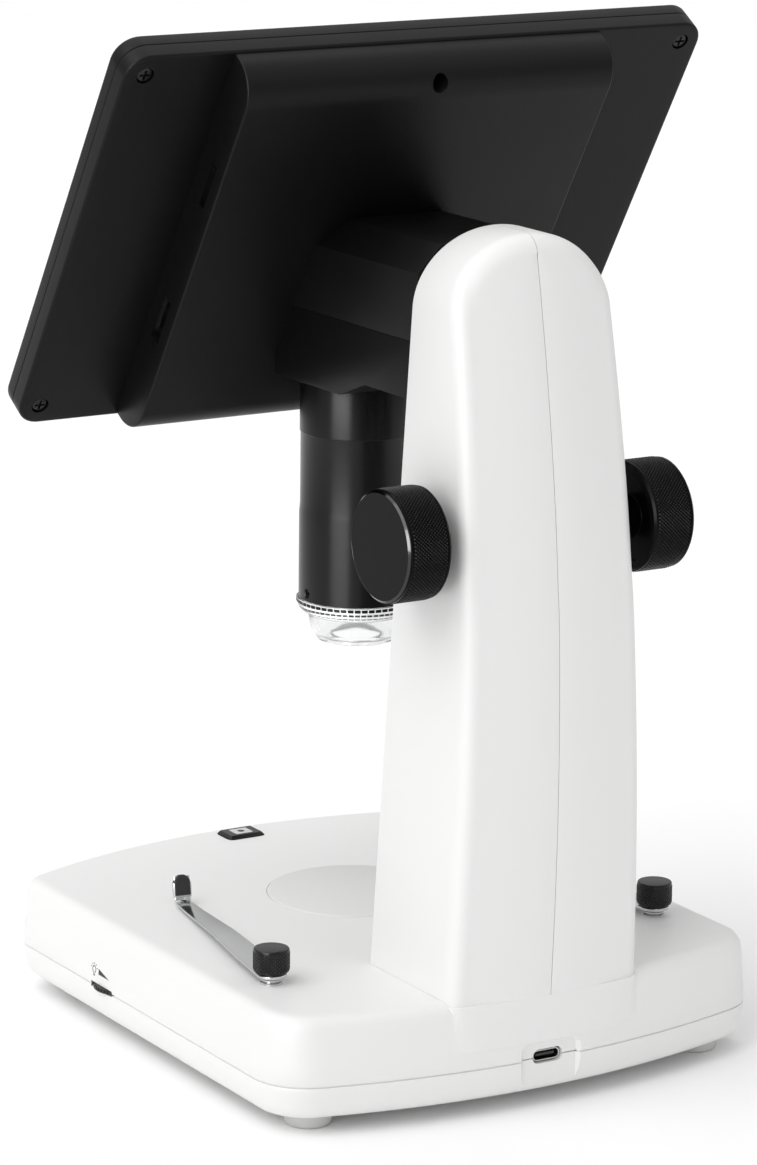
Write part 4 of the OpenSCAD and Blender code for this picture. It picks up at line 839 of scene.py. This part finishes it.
# %% Clip posts and thumb knobs
post_profile = [
    (0, 29.2), (1.5, 29.2), (1.5, 34.0), (3.2, 34.0), (3.3, 34.5), (3.3, 35.0), (3.15, 35.15), (2.5, 35.2),
    (2.5, 35.4), (3.0, 35.45), (3.1, 35.6), (3.1, 35.95), (3.0, 36.1), (2.5, 36.15), (2.5, 36.6),
    (1.5, 36.6), (1.5, 41.4), (0, 41.4)]
cap_profile = [(r, THUMB_Z + rise) for r, rise in (
    (1.55, 0), (4.75, 0), (5.0, 0.15), (5.1, 0.35), (5.12, 6.3), (5.05, 6.6), (4.85, 6.82), (4.6, 6.9),
    (0, 6.9), (0, 5.2), (1.55, 5.2))]
posts = []
for side, word in SIDES:
    x = side * POST_X
    posts.append(lathe("post", post_profile, at(x, POST_Y), n=48))
    cap = lathe("clip_thumb_knob_" + word, cap_profile, at(x, POST_Y), n=64)
    dress(cap, "clip_knob_" + word, GLOSSY, "clip_knob_" + word, angle=24)
    grip = grow("clip_knob_grip_" + word, knurl, KNURLED, at(x, POST_Y, THUMB_Z + 0.45), Radius=0.0053,
                Depth=0.00026, Width=0.0057, Around=64, Rows=12)
    dress(grip, "clip_knob_" + word, KNURLED, angle=15)
dress(join("clip_post_pair", *posts), "base", STEEL, "clip_posts")

# %% [markdown]
# The lens tube is turned in fine steps and painted satin black. Its upper end is cut at the slant of the
# display, because the display case lies against it, and a small set screw holds the lamp ring at its foot.

# %% Lens tube
r, z = TUBE_R, TUBE_Z
tube = lathe("tube", [
    (r - 2, z), (r - 1, z), (r - 1, RING_TOP + 0.1), (r - 0.2, RING_TOP + 0.1), (r, RING_TOP + 0.3),
    (r, z + 26.5), (r - 0.12, z + 28), (r - 0.25, z + 29.5), (r - 0.25, z + 50.8), (r - 0.15, z + 51),
    (r, z + 51.1), (r, HEAD_Z - 0.2), (r - 0.1, HEAD_Z), (r - 1.2, HEAD_Z), (r - 1.2, HEAD_Z + 2.4),
    (r - 2, HEAD_Z + 2.4)], AXIS, n=160, closed=True)
radial = AXIS @ at(0, 0, SET_SCREW_Z) @ Matrix.Rotation(math.pi / 2, 4, "Y")
cut(tube, block("slant", (-50, -100, -13.3), (50, 100, 30), SCREEN),
    lathe("bore", [(0, 14), (1.25, 14), (1.25, 16.8), (1.65, 17.2), (1.65, 18), (0, 18)], radial, n=32))
dress(tube, "camera_head", SATIN, "lens_tube")
set_screw = lathe("set_screw", [
    (0, 14.6), (1.2, 14.6), (1.2, 16.3), (1.05, 16.5), (0.62, 16.5), (0.62, 15.3), (0, 15.1)], radial, n=32)
dress(set_screw, "camera_head", BLACK_SCREW, "tube_set_screw")

# %% [markdown]
# The lamp ring is clear plastic. A band with the lamps in it lies round the foot of the tube, ribs break up
# their light, and a shallow bowl below spreads it over the stage.

# %% Lamp ring
ring = lathe("clear_ring", [
    (16.35, RING_TOP), (17.7, RING_TOP), (17.8, RING_TOP - 0.2), (17.75, 124.6), (17.4, 123.4), (17.0, 122.6),
    (15.1, 121.1), (14.4, 120.8), (13.9, 117.2), (13.3, 115.9), (12.4, 114.7), (11.7, 113.2), (11.3, 113.0),
    (8.0, 113.0), (8.0, 114.4), (10.6, 114.4), (11.2, 115.2), (12.2, 118.4), (12.8, 120.7), (13.0, 121.4),
    (15.05, 121.4), (15.05, 124.5), (16.35, 124.55)], AXIS, n=160, closed=True)
dress(ring, "camera_head", CLEAR, "light_ring")
reflector = lathe("ring_reflector", [
    (14.9, 121.5), (15.0, 121.5), (15.0, 124.56), (16.3, 124.6), (16.3, RING_TOP - 0.04),
    (16.22, RING_TOP - 0.04), (16.22, 124.66), (14.9, 124.62)], AXIS, n=128, closed=True)
dress(reflector, "camera_head", LIT)
for level, radius, height, tall in (
        ("upper", 17.83, 124.9, 0.9), ("middle", 15.06, 123.4, 0.5), ("lower", 15.06, 122.4, 0.35)):
    size = (0.00012, 0.0017 * radius / 17.8, tall * MM)
    lamps = grow("lamp_row_" + level, ring_tree, SATIN, AXIS, Count=54, Radius=radius * MM, Size=size,
                 Height=height * MM)
    dress(lamps, "camera_head", SATIN)

# %% [markdown]
# The display case is a shallow tray with a raised housing on its back. The housing has upright side walls and
# round shoulders. A card slot and a video socket open in its right wall, and four screws close the case.

# %% Display case, rear


def plate_outline(inset):
    return rounded_rect(SCREEN_W - 2 * inset, SCREEN_H - 2 * inset, CORNER_R - inset, 10)


def housing_ring(x, inset):
    h, r = 66.2 - inset, 10.6 - inset
    out = [(x, h, 3.0)] + [(x, h - r + r * math.cos(a), -2.4 - r * math.sin(a))
                           for a in [math.pi / 2 * k / 14 for k in range(15)]]
    return out + [(x, -y, n) for _, y, n in reversed(out)]


rear = stack("case_rear", plate_outline, [
    (0.8, 0), (0.5, 0.05), (0.22, 0.22), (0.05, 0.5), (0, 0.8), (0, 4.85), (0.15, 5.0)], SCREEN)
wall_steps = [(60.2, 0.6), (60.14, 0.35), (59.98, 0.14), (59.8, 0.04), (59.6, 0)]
housing = [housing_ring(1.8 + x, e) for x, e in wall_steps]
housing += [housing_ring(1.8 - x, e) for x, e in reversed(wall_steps)]
cut(rear, loft("housing", housing, SCREEN), how="UNION")
cut(rear, block("card", (44, 18.0, -8.6), (70, 32.6, -6.0), SCREEN),
    block("video", (44, -32.3, -8.6), (70, -17.3, -4.0), SCREEN),
    disc("eye", 2.5, -14, -1, SCREEN @ at(0, 60.5), n=48),
    *[disc("bore", 2.6, -1, 1.8, SCREEN @ at(sx * 88.4, sy * 60.3), n=40) for sx in (-1, 1) for sy in (-1, 1)])
dress(rear, "camera_head", BLACK, "screen_rear_shell", angle=30)

# %% [markdown]
# The bezel closes the case at the front and frames a sheet of dark glass that covers the display. The front
# isn't seen in the photo, so it is as plain as this kind of display allows.

# %% Display case, front
bezel = stack("bezel", plate_outline, [
    (0.35, 5.02), (0.02, 5.3), (0, 5.6), (0, 8.6), (0.2, 9.2), (0.6, 9.65), (1.2, 9.93), (1.9, 10.0)], SCREEN)
cut(bezel, prism("glass_seat", rounded_rect(170.3, 106.3, 3.1), 9.0, 12, SCREEN @ at(-7, 0)),
    *[disc("key_hole", 3.8, 4, 12, SCREEN @ at(KEY_X, KEY_PITCH * k), n=48) for k in range(-2, 3)])
dress(bezel, "camera_head", BLACK, "screen_bezel", angle=30)


def pane_outline(inset):
    return [(x - 7, y) for x, y in rounded_rect(170 - 2 * inset, 106 - 2 * inset, 3 - inset)]


pane = stack("dark_glass", pane_outline, ((0, 9.0), (0, 9.75), (0.1, 9.92), (0.3, 10.0)), SCREEN)
dress(pane, "camera_head", GLASS, "cover_glass")

# %% [markdown]
# Five round keys stand in a column at the right edge of the glass. Their tops are a little hollow, and their
# signs are plain and generic: a power sign, three bars, two arrows and a ring.

# %% Keys
key_profile = [(0, 6.7), (4.3, 6.7), (4.3, 7.9), (3.5, 7.9), (3.5, 10.4), (3.4, 10.62), (3.15, 10.78),
               (2.6, 10.8), (1.2, 10.62), (0, 10.58)]


def key_sign(word, place):
    # Films of ink in the hollow of a key
    low, high = 0.0, 0.06
    if word == "menu":
        bars = [block("bar", (-1.0, y - 0.13, low), (1.0, y + 0.13, high), place) for y in (-0.7, 0, 0.7)]
        return join("sign_menu", *bars)
    if word in ("up", "down"):
        tip = 1.0 if word == "up" else -1.0
        arrow = [(-1.0, -0.6 * tip), (1.0, -0.6 * tip), (0, tip)]
        return prism("sign_" + word, arrow if word == "up" else arrow[::-1], low, high, place)
    gap = 0.0 if word == "ok" else 0.55
    outer, inner = [arc(0, 0, r, math.pi / 2 + gap, math.pi * 2.5 - gap, 28) for r in (1.05, 0.78)]
    if word == "ok":
        return flat_ring("sign_ok", outer[:-1], inner[:-1], low, high, place)
    strip = prism("ring", outer + inner[::-1], low, high, place)
    return join("sign_power", strip, block("bar", (-0.14, 0.2, low), (0.14, 1.25, high), place))


for k, word in enumerate(("ok", "down", "up", "menu", "power"), start=-2):
    place = SCREEN @ at(KEY_X, KEY_PITCH * k)
    top = lathe("top", key_profile, place, n=56)
    key = join("key_cap_" + word, top, disc("stem", 1.5, 5.6, 7, place, n=24))
    dress(key, "key_" + word, KEYCAP, "key_" + word, angle=40)
    dress(key_sign(word, SCREEN @ at(KEY_X, KEY_PITCH * k, 10.56)), "key_" + word, INK_PALE)

# %% [markdown]
# The camera head is two moulded shells that meet in a level joint. Their edges get the small radius that a
# mould leaves, and so do the plain parts inside the stand. Two nylon bushes carry the focus shaft.

# %% Head and plain parts
for name, source, width, body, mat in (
        ("head_lower", "head_lower_shell", 0.7, "camera_head", BLACK),
        ("head_upper", "head_upper_shell", 0.7, "camera_head", BLACK),
        ("front_cover", "stand_front_cover", 0.4, "base", WHITE),
        ("rail_left", "guide_rail_left", 0.25, "base", ALUMINIUM),
        ("rail_right", "guide_rail_right", 0.25, "base", ALUMINIUM),
        ("slide_plate", "carriage", 0.3, "camera_head", ALUMINIUM)):
    softened(name, source, width, body, mat)
bush_profile = [(2.55, 25.7), (4.5, 25.7), (4.5, 28.3), (7, 28.3), (7, 30.0), (6.7, 30.4), (2.55, 30.4)]
for side, word in SIDES:
    bush = lathe("bush_" + word, bush_profile, on_shaft(side), n=64, closed=True)
    dress(bush, "base", NYLON, "shaft_bush_" + word)

# %% [markdown]
# The power inlet has a drawn steel shell with a thin rim round a tongue. It sits a little behind the wall, so
# that the plug's moulding meets the recess.

# %% Power inlet
INLET = at(0, 91.8, 15) @ Matrix.Rotation(math.pi / 2, 4, "X")


def inlet_outline(inset):
    return rounded_rect(8.94 - 2 * inset, 3.26 - 2 * inset, 1.5 - inset, 8)


inlet = stack("power_inlet_shell", inlet_outline, [
    (0.12, 0), (0, 0.12), (0, 7.4), (0.35, 7.4), (0.35, 0.08), (0.22, 0)], INLET, cyclic=True)
backing = prism("backing", rounded_rect(8.3, 2.6, 1.15), 6.2, 7.3, INLET)
tongue = block("tongue", (-3.1, -0.35, 0.7), (3.1, 0.35, 6.5), INLET)
dress(inlet, "base", STEEL, "usb_c_socket")
dress(join("inlet_tongue", backing, tongue), "base", NYLON)

# %% [markdown]
# A plain studio: a white floor that runs out to white, and an even sky. Only the camera, glass and mirrors see
# the sky itself. What mirrors see of it is darker near the floor, as the walls of a real room are.

# %% Floor and sky
floor = disc("floor", 2600, -1, 0, n=128)
paper = bpy.data.materials.new("paper_white")
paper.use_nodes = True
shader = paper.node_tree.nodes["Principled BSDF"]
for label, value in (("Base Color", (0.99, 0.99, 0.99, 1)), ("Roughness", 0.9), ("Specular IOR Level", 0.0)):
    shader.inputs[label].default_value = value
floor.data.materials.append(paper)
world = bpy.data.worlds.new("studio")
bpy.context.scene.world = world
world.use_nodes = True
tree = world.node_tree
even = tree.nodes["Background"]
even.inputs["Color"].default_value, even.inputs["Strength"].default_value = (1, 1, 1, 1), SKY
path = node(tree, "ShaderNodeLightPath")
spot = node(tree, "ShaderNodeSeparateXYZ", {0: node(tree, "ShaderNodeTexCoord")["Generated"]})
fade = node(tree, "ShaderNodeMapRange", {
    "Value": spot["Z"], "From Min": 0.05, "From Max": 0.6, "To Min": 0.38, "To Max": 1.0})
plain = calc(tree, "MAXIMUM", path["Is Camera Ray"], path["Is Transmission Ray"])
seen = node(tree, "ShaderNodeBackground", {
    "Color": (1, 1, 1, 1), "Strength": calc(tree, "MAXIMUM", plain, fade[0])})
mix = node(tree, "ShaderNodeMixShader", {
    0: calc(tree, "MAXIMUM", plain, path["Is Glossy Ray"]), 1: even.outputs[0], 2: seen[0]})
tree.links.new(mix[0], tree.nodes["World Output"].inputs["Surface"])
print("floor and sky ready:", len(tree.nodes), "nodes in the sky")

# %% [markdown]
# Two broad soft lights come from above, and a weaker one from the side. The long highlight on the tube comes
# from a strip of light that only mirrors see.

# %% Lights


def distant_light(name, direction, spread, power, gloss_only=False):
    lamp = bpy.data.lights.new(name, "SUN")
    lamp.energy, lamp.angle = power, math.radians(spread)
    obj = add_object(name, lamp)
    obj.rotation_euler = (-Vector(direction)).to_track_quat("-Z", "Y").to_euler()
    obj.visible_diffuse = not gloss_only
    print(name, power)


distant_light("key_light", (0.75, 0.1, 0.85), 50, KEY)
distant_light("top_light", (0.1, -0.3, 1.0), 70, TOP)
distant_light("side_light", (0.857, 0.495, 0.139), 25, SIDE)
distant_light("strip_light", (0.9, 0.42, 0.11), 38, STRIP, gloss_only=True)

# %% [markdown]
# The camera stands where the photographer stood: behind, above and to the right. Its place, its direction and
# its lens were solved from the edges in the photo.

# %% Camera
PLACE, LENS_MM, SENSOR_MM, ROLL = (0.6943, 1.1362, 0.4499), 144.67, 36, math.radians(0.65)
BACK, RIGHT, UP = [Vector(v) for v in ((0.50666, 0.83038, 0.23191), (-0.85365, 0.52085, 0),
                                       (-0.12079, -0.19797, 0.97275))]
camera = add_object("camera", bpy.data.cameras.new("camera"))
turned = (RIGHT * math.cos(ROLL) + UP * math.sin(ROLL), UP * math.cos(ROLL) - RIGHT * math.sin(ROLL), BACK)
pose = Matrix(turned).transposed().to_4x4()
pose.translation = Vector(PLACE)
camera.matrix_world = pose
camera.data.lens, camera.data.sensor_width, camera.data.clip_start = LENS_MM, SENSOR_MM, 0.05
bpy.context.scene.camera = camera
bpy.context.scene.view_settings.view_transform = "Standard"
print("camera at", [round(c, 3) for c in camera.location])
